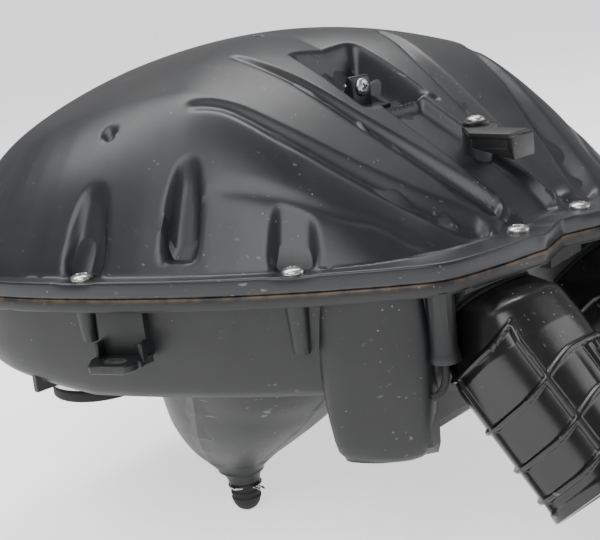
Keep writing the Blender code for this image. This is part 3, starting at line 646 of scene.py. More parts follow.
def along_line(x: np.ndarray, y: np.ndarray, line: list) -> tuple[np.ndarray, np.ndarray]:
    """Where points lie beside a line.

    Args:
        x: Points' x.
        y: Points' y.
        line: Corners of the line.

    Returns:
        Share of the way along, and signed distance, positive to the left of the line's direction.
    """
    pts = np.array(line, float)
    legs = np.linalg.norm(np.diff(pts, axis=0), axis=1)
    total, start = legs.sum(), 0.0
    best, share, sign = np.full(x.shape, 1e9), np.zeros(x.shape), np.ones(x.shape)
    for (ax, ay), (bx, by), leg in zip(pts, pts[1:], legs):
        ex, ey = (bx - ax) / leg, (by - ay) / leg
        t = np.clip((x - ax) * ex + (y - ay) * ey, 0, leg)
        dx, dy = x - ax - t * ex, y - ay - t * ey
        d = np.hypot(dx, dy)
        near = d < best
        best = np.where(near, d, best)
        share = np.where(near, (start + t) / total, share)
        sign = np.where(near, np.sign(ex * dy - ey * dx), sign)
        start += leg
    return share, best * sign


@dataclass
class Dome:
    """Height of the cover's outside: a crown, a sloping front and steep sides."""

    outline: Outline
    top: float = 91.9
    fall_x: float = 16.6
    fall_y: float = 18.6
    mid_y: float = 173.0
    front_slope: float = 0.623
    front_start: float = 9.5
    side_slope: float = 1.65
    top_blend: float = 21.0
    side_blend: float = 29.3
    outer_groove: tuple = ((-106, 132), (-94, 116.4), (-85, 93.5), (-75, 73.4), (-64.5, 54), (-54, 35.3),
                           (-42, 17.7))
    inner_groove: tuple = ((-54.4, 154.3), (-50.7, 137.3), (-44.2, 117), (-37.8, 91.1), (-31.2, 66.9),
                           (-26.1, 42.5), (-22.6, 23.1))
    shoulder: tuple = ((-125, 103), (-96, 53), (-83, 37), (-73, 12))
    reach: float = 25.0
    climb: float = 1.45

    def plain(self, x: np.ndarray, y: np.ndarray, skin: float = 0.0) -> np.ndarray:
        """The bare dome, or its inside when skin is the wall's thickness."""
        crown = self.top - self.fall_x * (x / 100) ** 2 - self.fall_y * ((y - self.mid_y) / 100) ** 2
        ax = np.abs(x)
        near = (np.minimum(ax, 90) - 30) / 35
        front = (self.front_slope + 0.07 * (ax - 30) / 35) * (y - self.front_start - 7.5 * near) + 4
        side = self.side_slope * (self.outline.depth(x, y) - LEDGE - skin)
        body = smooth_min(smooth_min(crown, front, self.top_blend), side, self.side_blend)
        return np.maximum(body, 0) - skin

    def grooves(self, x: np.ndarray, y: np.ndarray, z: np.ndarray) -> np.ndarray:
        """Cut the tapering flutes, steep on the crown's side and easy on the other."""
        mirrored = -np.abs(x)
        for line, wide, deep in ((self.outer_groove, 10.5, 6.8), (self.inner_groove, 9.5, 6.2)):
            share, off = along_line(mirrored, y, smoothed(line))
            half = 3.4 + (wide - 3.4) * share ** 0.75
            steep = smooth_step(off, np.maximum(half * 0.75, 3.6), 0.0)
            easy = smooth_step(-off, half * 1.5, 0.0)
            profile = np.where(off > 0, steep, easy ** 1.15)
            grow = deep * (0.14 + 0.86 * share ** 0.7) * smooth_step(share, 0.0, 0.05)
            z = z - grow * profile * smooth_step(z, 0.0, 5.0)
        share, off = along_line(mirrored, y, smoothed(self.shoulder))
        return z - 1.1 * np.exp(-(off / 2.6) ** 2) * smooth_step(share, 0, 0.15) * smooth_step(z, 0, 6)

    def niches(self, x: np.ndarray, y: np.ndarray, z: np.ndarray) -> np.ndarray:
        """Cut an upright niche over each flange screw, and the two clip niches between them."""
        edge = self.outline.even(400)
        spots = [(sx, sy, 9.3, NICHE_Z) for sx, sy in SCREWS] + [(-141.5, 103.0, 7.4, 5.0)]
        for sx, sy, radius, floor in spots:
            out = edge[np.argmin(np.hypot(edge[:, 0] - sx, edge[:, 1] - sy))] - (sx, sy)
            out = out / np.linalg.norm(out)
            deep = self.reach if abs(sx) > 100 else 9.0
            for side in (1, -1):
                dx, dy = side * x - sx, y - sy
                inward = -(dx * out[0] + dy * out[1])
                across = np.abs(dx * out[1] - dy * out[0])
                past = np.clip(inward / deep, 0, 1)
                half = radius * np.sqrt(np.maximum(1 - past ** 2.2, 0))
                level = floor + self.climb * np.maximum(inward - 5.5, 0) ** 1.12
                inside = smooth_step(across, half + 2.4, np.maximum(half - 2.2, -2.0))
                inside = inside * smooth_step(inward, deep, deep - 4) * smooth_step(inward, -26, -24)
                z = z + (np.minimum(z, level) - z) * inside
        return z

    def middle(self, x: np.ndarray, y: np.ndarray, z: np.ndarray) -> np.ndarray:
        """Cut the front channel and the lug's basin, and press the small dimples."""
        ridge = self.plain(np.zeros_like(y), y)
        for half, y0, y1, deep, left in ((13.5, 11.0, 91.0, 6.0, 0.5), (21.0, 95.0, 139.0, 17.0, -2.0)):
            soft = 1.6 + deep / 6
            across = smooth_step(np.abs(x - left), half + soft, half - soft)
            run = smooth_step(y, y0 - soft, y0 + soft) * smooth_step(y, y1 + soft, y1 - soft)
            floor = np.maximum(ridge - deep, 0.6)
            z = z + (np.minimum(z, floor) - z) * across * run
        for px, py, radius, deep in ((-129, 160, 4.0, 3.5), (-13.6, 176, 3.4, 2.6), (22, 88, 2.6, 1.5)):
            z = z - deep * smooth_step(np.hypot(x - px, y - py), radius, radius * 0.4)
        for sx, sy in SCREWS:
            for side in (1, -1):
                z = z - 4.5 * smooth_step(np.hypot(x - side * sx, y - sy), 3.6, 1.8)
        return z

    def detailed(self, x: np.ndarray, y: np.ndarray) -> np.ndarray:
        """The outside with every groove, niche and channel."""
        z = self.grooves(x, y, self.plain(x, y))
        return self.middle(x, y, self.niches(x, y, z))


@dataclass
class Cover:
    """The domed cover, its lug, its sensor and the seats under its screws."""

    dome: Dome
    palette: Palette
    copies: Instancer
    around: int = 560
    outer_rings: int = 154
    inner_rings: int = 12
    boss: tuple = (12.0, 55.0)

    def build(self) -> None:
        """Make every piece on the cover."""
        self.shell()
        self.sensor()
        self.lug()

    def shell(self) -> None:
        """The moulding: outside, rounded rim and inside, as one closed skin."""
        outline = self.dome.outline
        edge = outline.even(self.around)
        middle = np.array(outline.middle)
        rings = []
        for s in np.linspace(0.004, 1, self.outer_rings) ** 0.85:
            pts = middle + (outline.inset(edge, 1.1) - middle) * s
            rings.append(np.column_stack([pts, self.dome.detailed(pts[:, 0], pts[:, 1])]))
        last = rings[-1][:, 2]
        for inset, z in ((0.5, -0.25), (0.12, -0.7), (0.0, -1.4), (0.0, -6.9), (0.3, -7.6), (1.0, -RIM_T),
                         (9.6, -RIM_T)):
            level = np.minimum(z, last + z) if z > -1 else np.full(self.around, z)
            rings.append(np.column_stack([outline.inset(edge, inset), level]))
        foot = outline.inset(edge, 9.9)
        rings.append(np.column_stack([foot, np.full(self.around, -WALL - 1)]))
        for s in np.linspace(1, 0.006, self.inner_rings):
            pts = middle + (foot - middle) * s
            roof = np.minimum(self.dome.plain(pts[:, 0], pts[:, 1], WALL),
                              self.dome.detailed(pts[:, 0], pts[:, 1]) - 1.8)
            rings.append(np.column_stack([pts, roof]))
        shell = loft("cover_shell", np.array(rings), Ends.CAPS, 50)
        dress(shell, Body.COVER, self.palette.cover, "dome_plastic", "upper_cover")
        self.seats()

    def seats(self) -> None:
        """A pressed pad with a clear hole under each flange screw."""
        pad = [(7.2, -0.2), (6.9, 0.15), (2.5, 0.15), (2.3, 0.0), (2.3, -6.0), (3.0, -6.0), (3.2, -1.2), (7.2, -1.2)]
        template = template_turned("seat_template", pad, 40, Ends.LOOP)
        spots = [(side * x, y, NICHE_Z) for side in (1, -1) for x, y in SCREWS]
        pads = self.copies.place("screw_seats", template, spots, self.palette.cover)
        dress(pads, Body.COVER, self.palette.cover, "dome_plastic")

    def sensor(self) -> None:
        """Air temperature sensor: its connector in the channel and its fixing ring behind."""
        x, y = self.boss
        top = float(self.dome.plain(np.array([x]), np.array([y]))[0]) + 4.0
        plate = [(-8, 20), (8, 20), (8, 43), (x + 7, 47)]
        plate += [(x + 7 * math.cos(a), y + 7 * math.sin(a)) for a in np.linspace(0, math.pi * 0.9, 9)]
        plate += [(-8, 44)]
        parts = [prism("plate", plate, top + 0.4, top + 3.4)]
        for low, high, y0, y1, rise in ((-7.6, 7.6, 18.5, 43, 0.0), (-8.2, 8.2, 18.3, 22.0, 0.5),
                                        (-2.6, 2.6, 21.0, 40, 1.6)):
            body = [(y0, top - 9 + (y0 - 18.5) * 0.25), (y1, top - 4), (y1, top + 2 + rise), (y0, top + 1.2 + rise)]
            parts.append(prism("body", body, low, high, "x", 0.7))
        for step in range(4):
            rib_y = 25.0 + 4.2 * step
            rib = [(rib_y, top), (rib_y + 1.4, top), (rib_y + 1.4, top + 2.9), (rib_y, top + 2.9)]
            parts.append(prism("rib", rib, -7.9, -3.6, "x", 0.3))
            parts.append(prism("rib", rib, 3.6, 7.9, "x", 0.3))
        ring = [(6.4, top + 3.2), (6.4, top + 5.2), (5.8, top + 5.8), (3.0, top + 5.8), (2.6, top + 5.2),
                (2.6, top + 0.6), (6.4, top + 0.6)]
        parts.append(revolve("ring", ring, self.boss, 48, True))
        dress(merge("temperature_sensor", parts), Body.COVER, self.palette.sensor, "sensor_plastic",
              "air_temperature_sensor")
        tower = revolve("sensor_tower", [(8.6, top - 14), (7.6, top - 6), (7.0, top - 0.4), (6.2, top), (0, top)],
                        self.boss, 48)
        dress(tower, Body.COVER, self.palette.cover, "dome_plastic")

    def lug(self) -> None:
        """The upright lug and the hose shelf in the basin."""
        level = float(self.dome.plain(np.array([0.0]), np.array([119.0]))[0]) - 8.0
        post = [(117, level - 18), (122, level - 18), (122, level + 3), (120.8, level + 6),
                (118.2, level + 6), (117, level + 3)]
        parts = [prism("post", post, -7, 7, "x", 0.9)]
        for x0 in (-7.0, 5.4):
            web = [(121, level - 16), (134, level - 16), (121, level + 2)]
            parts.append(prism("web", web, x0, x0 + 1.6, "x", 0.3))
        shelf = [(108, level - 12), (117.5, level - 12), (117.5, level - 9.4), (108, level - 9.8)]
        parts.append(prism("shelf", shelf, -11, 11, "x", 0.5))
        dress(merge("hose_lug", parts), Body.COVER, self.palette.cover, "dome_plastic")


def template_turned(name: str, profile: list, steps: int, ends: Ends) -> bpy.types.Object:
    """A turned template about its own origin, from an (r, z) profile in millimetres."""
    turn = np.linspace(0, 2 * math.pi, steps, endpoint=False)
    rings = np.array([[(max(r, 1e-3) * math.cos(a), max(r, 1e-3) * math.sin(a), z) for a in turn]
                      for r, z in profile])
    points, faces = loft_data(rings, ends)
    return new_object(name, points * MM, faces, 35)


@dataclass
class Screws:
    """Truss-head screws with a cross recess."""

    palette: Palette
    copies: Instancer
    steps: int = 48

    def template(self, head: float, shank: float, length: float) -> bpy.types.Object:
        """One screw seated at its own origin.

        Args:
            head: Head radius in millimetres.
            shank: Shank radius in millimetres.
            length: Length under the head in millimetres.

        Returns:
            The template object.
        """
        turn = np.linspace(0, 2 * math.pi, self.steps, endpoint=False)
        rings = []
        for share in (0.002, 0.08, 0.14, 0.2, 0.27, 0.34, 0.42, 0.5, 0.6, 0.7, 0.8, 0.88, 0.94, 0.98, 1.0):
            r = head * share
            dome = head * 0.1 + head * 0.4 * math.sqrt(max(1 - share ** 2.4, 0))
            x, y = r * np.cos(turn), r * np.sin(turn)
            arm = np.minimum(np.abs(x), np.abs(y))
            reach = np.maximum(np.abs(x), np.abs(y))
            cut = smooth_step(arm, head * 0.13, head * 0.07) * smooth_step(reach, head * 0.52, head * 0.4)
            rings.append(np.column_stack([x, y, dome - head * 0.34 * cut]))
        low = [(head, 0.02), (shank + 0.4, 0.02), (shank, -0.4)]
        pitch = 1.25
        for k in range(int((length - 2.2) / pitch)):
            z = -0.8 - k * pitch
            low += [(shank, z), (shank + 0.32, z - pitch * 0.45), (shank, z - pitch * 0.9)]
        low += [(shank * 0.8, -length + 0.8), (0.002, -length)]
        for r, z in low:
            rings.append(np.column_stack([r * np.cos(turn), r * np.sin(turn), np.full(self.steps, z)]))
        points, faces = loft_data(np.array(rings), Ends.CAPS)
        return new_object("screw_template", points * MM, faces, 35)

    def place(self, name: str, body: Body, size: tuple, spots: list, nodes: list,
              turns: list | None = None) -> None:
        """Copy one kind of screw to its places on one body."""
        template = self.template(*size)
        made = self.copies.place(name, template, spots, self.palette.zinc, turns, spread=math.pi / 4)
        dress(made, body, self.palette.zinc, "zinc", *nodes)

    def build(self, dome: Dome) -> None:
        """Place the flange, sensor, lug and filter screws."""
        flange = [(side * x, y, NICHE_Z + 0.2) for side in (1, -1) for x, y in SCREWS]
        self.place("flange_screws", Body.COVER_SCREWS, (5.3, 1.9, 16.0), flange,
                   [f"cover_screw_{n:02d}" for n in range(1, 11)])
        top = float(dome.plain(np.array([12.0]), np.array([55.0]))[0]) + 4.0
        self.place("sensor_fixing", Body.COVER, (4.5, 1.4, 8.0), [(12.0, 55.0, top + 5.9)], ["sensor_screw"])
        level = float(dome.plain(np.array([0.0]), np.array([119.0]))[0]) - 8.0
        self.place("lug_fixing", Body.COVER, (4.6, 1.7, 13.0), [(0.0, 116.9, level)], ["lug_screw"],
                   [(math.pi / 2, 0, 0)])
        corners = [(sx * 92.8, y, TRAY_Z + 11.7) for sx in (-1, 1) for y in (49.2, 174.8)]
        self.place("filter_fixings", Body.FILTER_SCREWS, (2.7, 1.4, 9.0), corners,
                   [f"filter_screw_{n}" for n in range(1, 5)])


@dataclass
class Case:
    """Skins and fittings of the lower case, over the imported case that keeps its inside."""

    outline: Outline
    palette: Palette
    copies: Instancer
    around: int = 420
    sump_x: float = -85.0
    cup: tuple = (82.0, 7.0)

    def build(self) -> None:
        """Make every piece of the case."""
        for part, finish in (("lower_case", self.palette.case), ("joint_seal", self.palette.rubber),
                             ("duct_seal_right", self.palette.foam), ("duct_seal_left", self.palette.foam)):
            paint_node(part, finish)
        self.band()
        self.wall()
        self.front()
        self.sump()
        self.bosses()
        for side in (-1, 1):
            self.tab(side)
            self.hose_cup(side)
        self.vent()

    def dressed(self, obj: bpy.types.Object) -> None:
        """Give a case piece the case's plastic."""
        dress(obj, Body.CASE, self.palette.case, "case_plastic")

    def band(self) -> None:
        """Rounded edge of the flange."""
        edge = self.outline.even(self.around)
        rings = [np.column_stack([self.outline.inset(edge, d), np.full(self.around, z)]) for d, z in
                 ((0.5, -8.0), (0.0, -8.3), (-0.35, -9.0), (-0.35, -12.9), (0.1, -13.8), (0.9, -14.3),
                  (6.5, -14.3), (6.5, -13.2), (1.05, -13.2), (1.05, -8.0))]
        self.dressed(loft("flange_edge", np.array(rings), Ends.LOOP))

    @staticmethod
    def rise(x: np.ndarray, y: np.ndarray) -> np.ndarray:
        """How far the lower edge climbs towards the rear corners."""
        return 0.19 * np.maximum(y - 152, 0) * np.clip((np.abs(x) - 110) / 50, 0, 1)

    def wall(self) -> None:
        """Side wall, rolled under at its foot, open in front where the ducts enter."""
        edge = self.outline.even(self.around)
        levels = ((6.4, -13.6), (6.8, -20), (7.6, -33), (8.6, -43), (10.0, -51), (11.4, -55.2), (14.0, -58.6),
                  (18, -60.2), (33, -60.7), (33, -59.3), (18.6, -59.0), (14.8, -57.6), (12.2, -54), (9.6, -43),
                  (8.6, -33), (7.8, -20), (7.4, -13.6))
        rows = []
        for d, z in levels:
            pts = self.outline.inset(edge, d)
            lift = self.rise(pts[:, 0], pts[:, 1]) * float(smooth_step(np.array(z), -36, -50)) * (d < 30)
            rows.append(np.column_stack([pts, z + lift]))
        kept = np.where(~((np.abs(edge[:, 0]) < 80.5) & (edge[:, 1] < 60)))[0]
        self.dressed(loft("case_wall", np.array(rows).transpose(1, 0, 2)[kept], Ends.FLAT))

    def front(self) -> None:
        """Deep front with its two legs, as a cup open at the top."""
        bend = Outline(side=((-79.6, 13.6), (-90, 11.7), (-102.8, 20.4), (-113, 37.6), (-114, 50.6),
                             (-99.8, 56), (-82, 72.8), (-40, 76.5), (0, 78.4)),
                       notch=((0, 30.5), (-20, 30.5), (-40, 30.5), (-60, 30.5), (-76.4, 30.5)))
        loop = bend.corners(6)
        leg = np.abs(loop[:, 0]) > 76
        heart = np.column_stack([np.where(leg, np.sign(loop[:, 0]) * 95, loop[:, 0]), np.where(leg, 46, 54)])
        away = heart - loop
        length = np.linalg.norm(away, axis=1)[:, None]
        rings = []
        for shrink, z in ((12, -90.2), (8, -89.8), (5.4, -88.2), (3.6, -85.4), (2.4, -80), (1.0, -68), (0.2, -56),
                          (-0.2, -46), (-0.2, -36), (0.2, -24), (0.6, -14.0), (1.8, -14.0),
                          (1.2, -40), (2.2, -68), (4.0, -82), (9, -86.8), (13, -87.6)):
            pts = loop + away / length * np.minimum(shrink * 1.3, length * 0.4)
            rings.append(np.column_stack([pts, np.full(len(pts), z)]))
        self.dressed(loft("case_front", np.array(rings), Ends.FLAT))

    def sump(self) -> None:
        """Funnel of the drain sump with beads on its neck."""
        table = np.array([(-50, 122.5, 62.5, 46.5), (-56, 123, 61.6, 45.8), (-62, 124, 60, 45), (-70, 127, 56.5, 43),
                          (-77, 130, 52, 40), (-86, 134.5, 47.2, 36.8), (-94, 139.5, 42, 33), (-105, 146, 33, 26),
                          (-115, 151.5, 24, 18), (-122, 151, 15, 12), (-128, 148.5, 8.2, 8.2),
                          (-131, 148, 7.6, 7.6)], float)[::-1]
        turn = np.linspace(0, 2 * math.pi, 96, endpoint=False)
        heights = np.linspace(-131, -50, 70)
        rings = []
        for grow, levels in ((0.45, heights), (-1.2, heights[::-1][:-6])):
            for z in levels:
                y, half_y, half_x = (float(np.mean([np.interp(z + k, table[:, 0], table[:, c])
                                                    for k in (-3, -1, 0, 1, 3)])) for c in (1, 2, 3))
                bead = 0.9 * float(smooth_step(np.array(abs(z + 125.2)), 1.3, 0.5)) if grow > 0 else 0.0
                flat = 0.04 * np.cos(4 * turn) if z > -118 else 0.0
                rings.append(np.column_stack([self.sump_x + (half_x * (1 - flat) + grow + bead) * np.cos(turn),
                                              y + (half_y * (1 - flat) + grow + bead) * np.sin(turn),
                                              np.full(96, z)]))
        self.dressed(loft("drain_sump", np.array(rings), Ends.CAPS))

    def bosses(self) -> None:
        """Tapered screw bosses under the flange."""
        profile = [(0, -20), (2.6, -20), (3.5, -19.5), (3.9, -18.4), (4.4, -11), (5.0, -3), (5.4, 0.5), (0, 0.5)]
        template = template_turned("boss_template", profile, 40, Ends.CAPS)
        spots, stretches = [], []
        for side in (1, -1):
            for (x, y), tip in zip(SCREWS, BOSS_TIPS):
                spots.append((side * x, y, FLANGE_Z))
                stretches.append((1, 1, (FLANGE_Z - tip + 0.4) / 20))
        made = self.copies.place("screw_bosses", template, spots, self.palette.case, None, stretches)
        self.dressed(made)

    def tab(self, side: int) -> None:
        """Slotted side tab under its strip, with two gussets."""
        first, second = np.array((-158.0, 106.0)), np.array((-170.0, 130.0))
        along = (second - first) / np.linalg.norm(second - first)
        out = np.array((-along[1], along[0]))
        turn = np.linspace(0, 2 * math.pi, 96, endpoint=False)
        rays = np.column_stack([np.cos(turn), np.sin(turn)])
        reach = []
        for ray in rays:
            far = [12.3 / abs(ray[0]) if abs(ray[0]) > 1e-6 else 1e9]
            far.append(7.6 / ray[1] if ray[1] > 1e-6 else (10.8 / -ray[1] if ray[1] < -1e-6 else 1e9))
            reach.append(min(far))
        corner = np.minimum(np.array(reach), np.where(rays[:, 1] > 0, 11.2, 99.0))
        hole = []
        for ray in rays:
            t = np.linspace(0.5, 8, 300)[:, None] * ray
            d = np.hypot(np.maximum(np.abs(t[:, 0]) - 3.0, 0), t[:, 1])
            hole.append(float(np.linalg.norm(t[np.argmin(np.abs(d - 3.2))])))
        hole = np.array(hole)
        at = np.array((-161.5, 124.0))
        mirror = np.array((-side, 1.0))
        rings = []
        for radius, z in ((corner, -37.4), (corner + 0.3, -37.0), (corner + 0.3, -34.4), (corner - 0.2, -33.9),
                          (hole + 0.5, -33.9), (hole, -34.4), (hole, -37.2), (hole + 0.4, -37.6),
                          (corner - 0.4, -37.6)):
            local = rays * radius[:, None] + (1.0, 12.5)
            pts = (at + local[:, :1] * along + local[:, 1:] * out) * mirror
            rings.append(np.column_stack([pts, np.full(96, z)]))
        parts = [loft("plate", np.array(rings), Ends.LOOP)]
        for u0, u1, v0, v1, low in ((-11.4, 11.4, -4, 4.0, -35.8), (-11.8, -9.8, 2, 9.5, -27.0),
                                    (9.8, 11.8, 2, 9.5, -27.0)):
            corners = [tuple((at + along * u + out * v) * mirror)
                       for u, v in ((u0, v0), (u1, v0), (u1, v1), (u0, v1))]
            parts.append(prism("strip", corners, min(low, -35.8), FLANGE_Z + 1 if u1 - u0 > 4 else low, "z", 0.5))
        self.dressed(merge(f"side_tab_{'right' if side < 0 else 'left'}", parts))

    def hose_cup(self, side: int) -> None:
        """Hollow cup under the flange with a flared lip."""
        profile = [(6.1, -13.5), (6.15, -38), (6.7, -40.5), (7.1, -42.5), (7.0, -44.3), (5.4, -44.6), (5.0, -43.5),
                   (4.75, -40), (4.6, -16), (0.002, -16), (0.002, -13.5)]
        made = revolve(f"hose_cup_{'right' if side < 0 else 'left'}", profile, (side * self.cup[0], self.cup[1]), 56)
        self.dressed(made)

    def vent(self) -> None:
        """Rubber vent pipe out of the right cup into the leg."""
        x, y = -self.cup[0], self.cup[1]
        route = [(x, y, -18), (x, y, -30), (x, y, -44), (x - 0.5, y + 0.2, -53), (x - 2.5, y + 2, -58.5),
                 (x - 5, y + 4.6, -60.5)]
        made = tube("vent_pipe", route, 1.75)
        dress(made, Body.CASE, self.palette.rubber, "rubber", "vent_tube")


def bar(outline: list, low: float, high: float) -> bpy.types.Object:
    """A template for copies: an outline drawn along X about its own origin.

    Args:
        outline: Corners in Y and Z, in millimetres.
        low: Lower end on X.
        high: Upper end on X.

    Returns:
        The template object.
    """
    template = prism("bar_template", outline, low, high, "x", 0)
    template.data.transform(Matrix.Translation(-Vector(SHIFT.tolist()) * MM))
    return template


def paint_node(part: str, finish: bpy.types.Material) -> None:
    """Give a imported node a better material."""
    node = frame["nodes"][part]
    if not node.material_slots:
        node.data.materials.append(finish)
    for place in node.material_slots:
        place.material = finish


def tube(name: str, route: list, radius: float, steps: int = 24) -> bpy.types.Object:
    """A round tube along a smoothed route.

    Args:
        name: The object's name.
        route: Points in joint-frame millimetres.
        radius: The tube's radius in millimetres.
        steps: Facets around.

    Returns:
        The object.
    """
    path = np.array(smoothed(route, 8))
    ahead = np.gradient(path, axis=0)
    ahead /= np.linalg.norm(ahead, axis=1)[:, None]
    side = np.cross(ahead[0], (0.31, 0.87, 0.38))
    turn = np.linspace(0, 2 * math.pi, steps, endpoint=False)[:, None]
    rings = []
    for centre, way in zip(path, ahead):
        side = side - way * (side @ way)
        side = side / np.linalg.norm(side)
        rings.append(centre + radius * (np.cos(turn) * side + np.sin(turn) * np.cross(way, side)))
    return loft(name, np.array(rings), Ends.FLAT)


@dataclass
class Ducts:
    """Two blow-moulded ram-air ducts with a grid of stiffening ribs."""

    palette: Palette
    pitch: float = math.radians(48.5)
    start: tuple = (6.6, -30.0)
    sections: tuple = ((-3.1, 22.5, 73.0, -26.0, 16.4), (9.0, 21.5, 75.0, -27.0, 26.0),
                       (24.0, 21.0, 79.0, -27.6, 27.0), (92.0, 22.8, 77.4, -25.8, 25.2))
    hoops: tuple = (19.0, 46.0, 66.0, 82.0)
    rails: tuple = (-92, -74, -56, -36, -14, 24, 46)
    comb: tuple = (53, 59, 65, 71, 77, 83)
    rib: float = 1.6

    def ring(self, side: int, along: float, inset: float, ribbed: bool, steps: int = 240) -> np.ndarray:
        """One section of a duct, with its ribs.

        Args:
            side: -1 for the right duct, 1 for the left.
            along: Place on the axis.
            inset: How far inside the outer skin.
            ribbed: Whether the ribs stand proud.
            steps: Points around.

        Returns:
            The ring's points.
        """
        rows = np.array(self.sections)
        inner, outer, low, high = (float(np.interp(along, rows[:, 0], rows[:, k])) for k in range(1, 5))
        a = np.linspace(-math.pi, math.pi, steps, endpoint=False)
        c, s = np.cos(a), np.sin(a)
        out = np.sign(c) * np.abs(c) ** (2 / 3.2) * ((outer - inner) / 2 - inset)
        up = np.sign(s) * np.abs(s) ** (2 / 3.2) * ((high - low) / 2 - inset)
        if ribbed:
            legs = np.hypot(np.diff(out, append=out[0]), np.diff(up, append=up[0]))
            around = np.concatenate([[0], np.cumsum(legs)[:-1]])
            around = around - np.interp(0.0, a, around)
            proud = self.height(along, around)
            chord = np.stack([np.roll(out, -1) - np.roll(out, 1), np.roll(up, -1) - np.roll(up, 1)])
            chord = chord / np.linalg.norm(chord, axis=0)
            out, up = out + chord[1] * proud, up - chord[0] * proud
        up = up + (low + high) / 2
        cos, sin = math.cos(self.pitch), math.sin(self.pitch)
        x = side * ((inner + outer) / 2 + out)
        return np.column_stack([x, self.start[0] - cos * along - sin * up, self.start[1] - sin * along + cos * up])

    def height(self, along: float, around: np.ndarray) -> np.ndarray:
        """Height of the ribs at places round a section; the panel on top stays blank."""
        bow = 9.0 * smooth_step(around, 8, 46) + 4.0 * smooth_step(around, -8, -40)
        proud = np.zeros_like(around)
        for k, hoop in enumerate(self.hoops):
            near = smooth_step(np.abs(along - hoop + bow), 1.7, 0.7)
            proud = np.maximum(proud, near * (smooth_step(around, 26, 23) if k == 0 else 1.0))
        past = along - self.hoops[1] + bow
        for rail in self.rails:
            near = smooth_step(np.abs(around - rail), 1.7, 0.7)
            begin = smooth_step(along, 14, 17) if rail < 30 else smooth_step(past, -1, 1)
            proud = np.maximum(proud, near * begin)
        for tooth in self.comb:
            proud = np.maximum(proud, smooth_step(np.abs(around - tooth), 1.2, 0.5) * smooth_step(past, -1, 1))
        field = self.rib * proud * float(smooth_step(np.array(along), 89.5, 88.0))
        return field + 0.8 * float(smooth_step(np.array(along), 86.5, 87.5))

    def build(self) -> None:
        """Make both ducts."""
        for side, word in ((-1, "right"), (1, "left")):
            stations = np.concatenate([np.linspace(-3.0, 12, 10), np.linspace(12.6, 91.9, 140)])
            rings = [self.ring(side, float(a), 0.0, True) for a in stations]
            rings += [self.ring(side, a, 1.4, False) for a in (92.3,)]
            rings += [self.ring(side, float(a), 2.4, False) for a in np.linspace(91.6, -3.0, 16)]
            made = loft(f"ribbed_duct_{word}", np.array(rings), Ends.LOOP, 60)
            dress(made, Body.CASE, self.palette.duct, "duct_plastic", f"intake_duct_{word}")


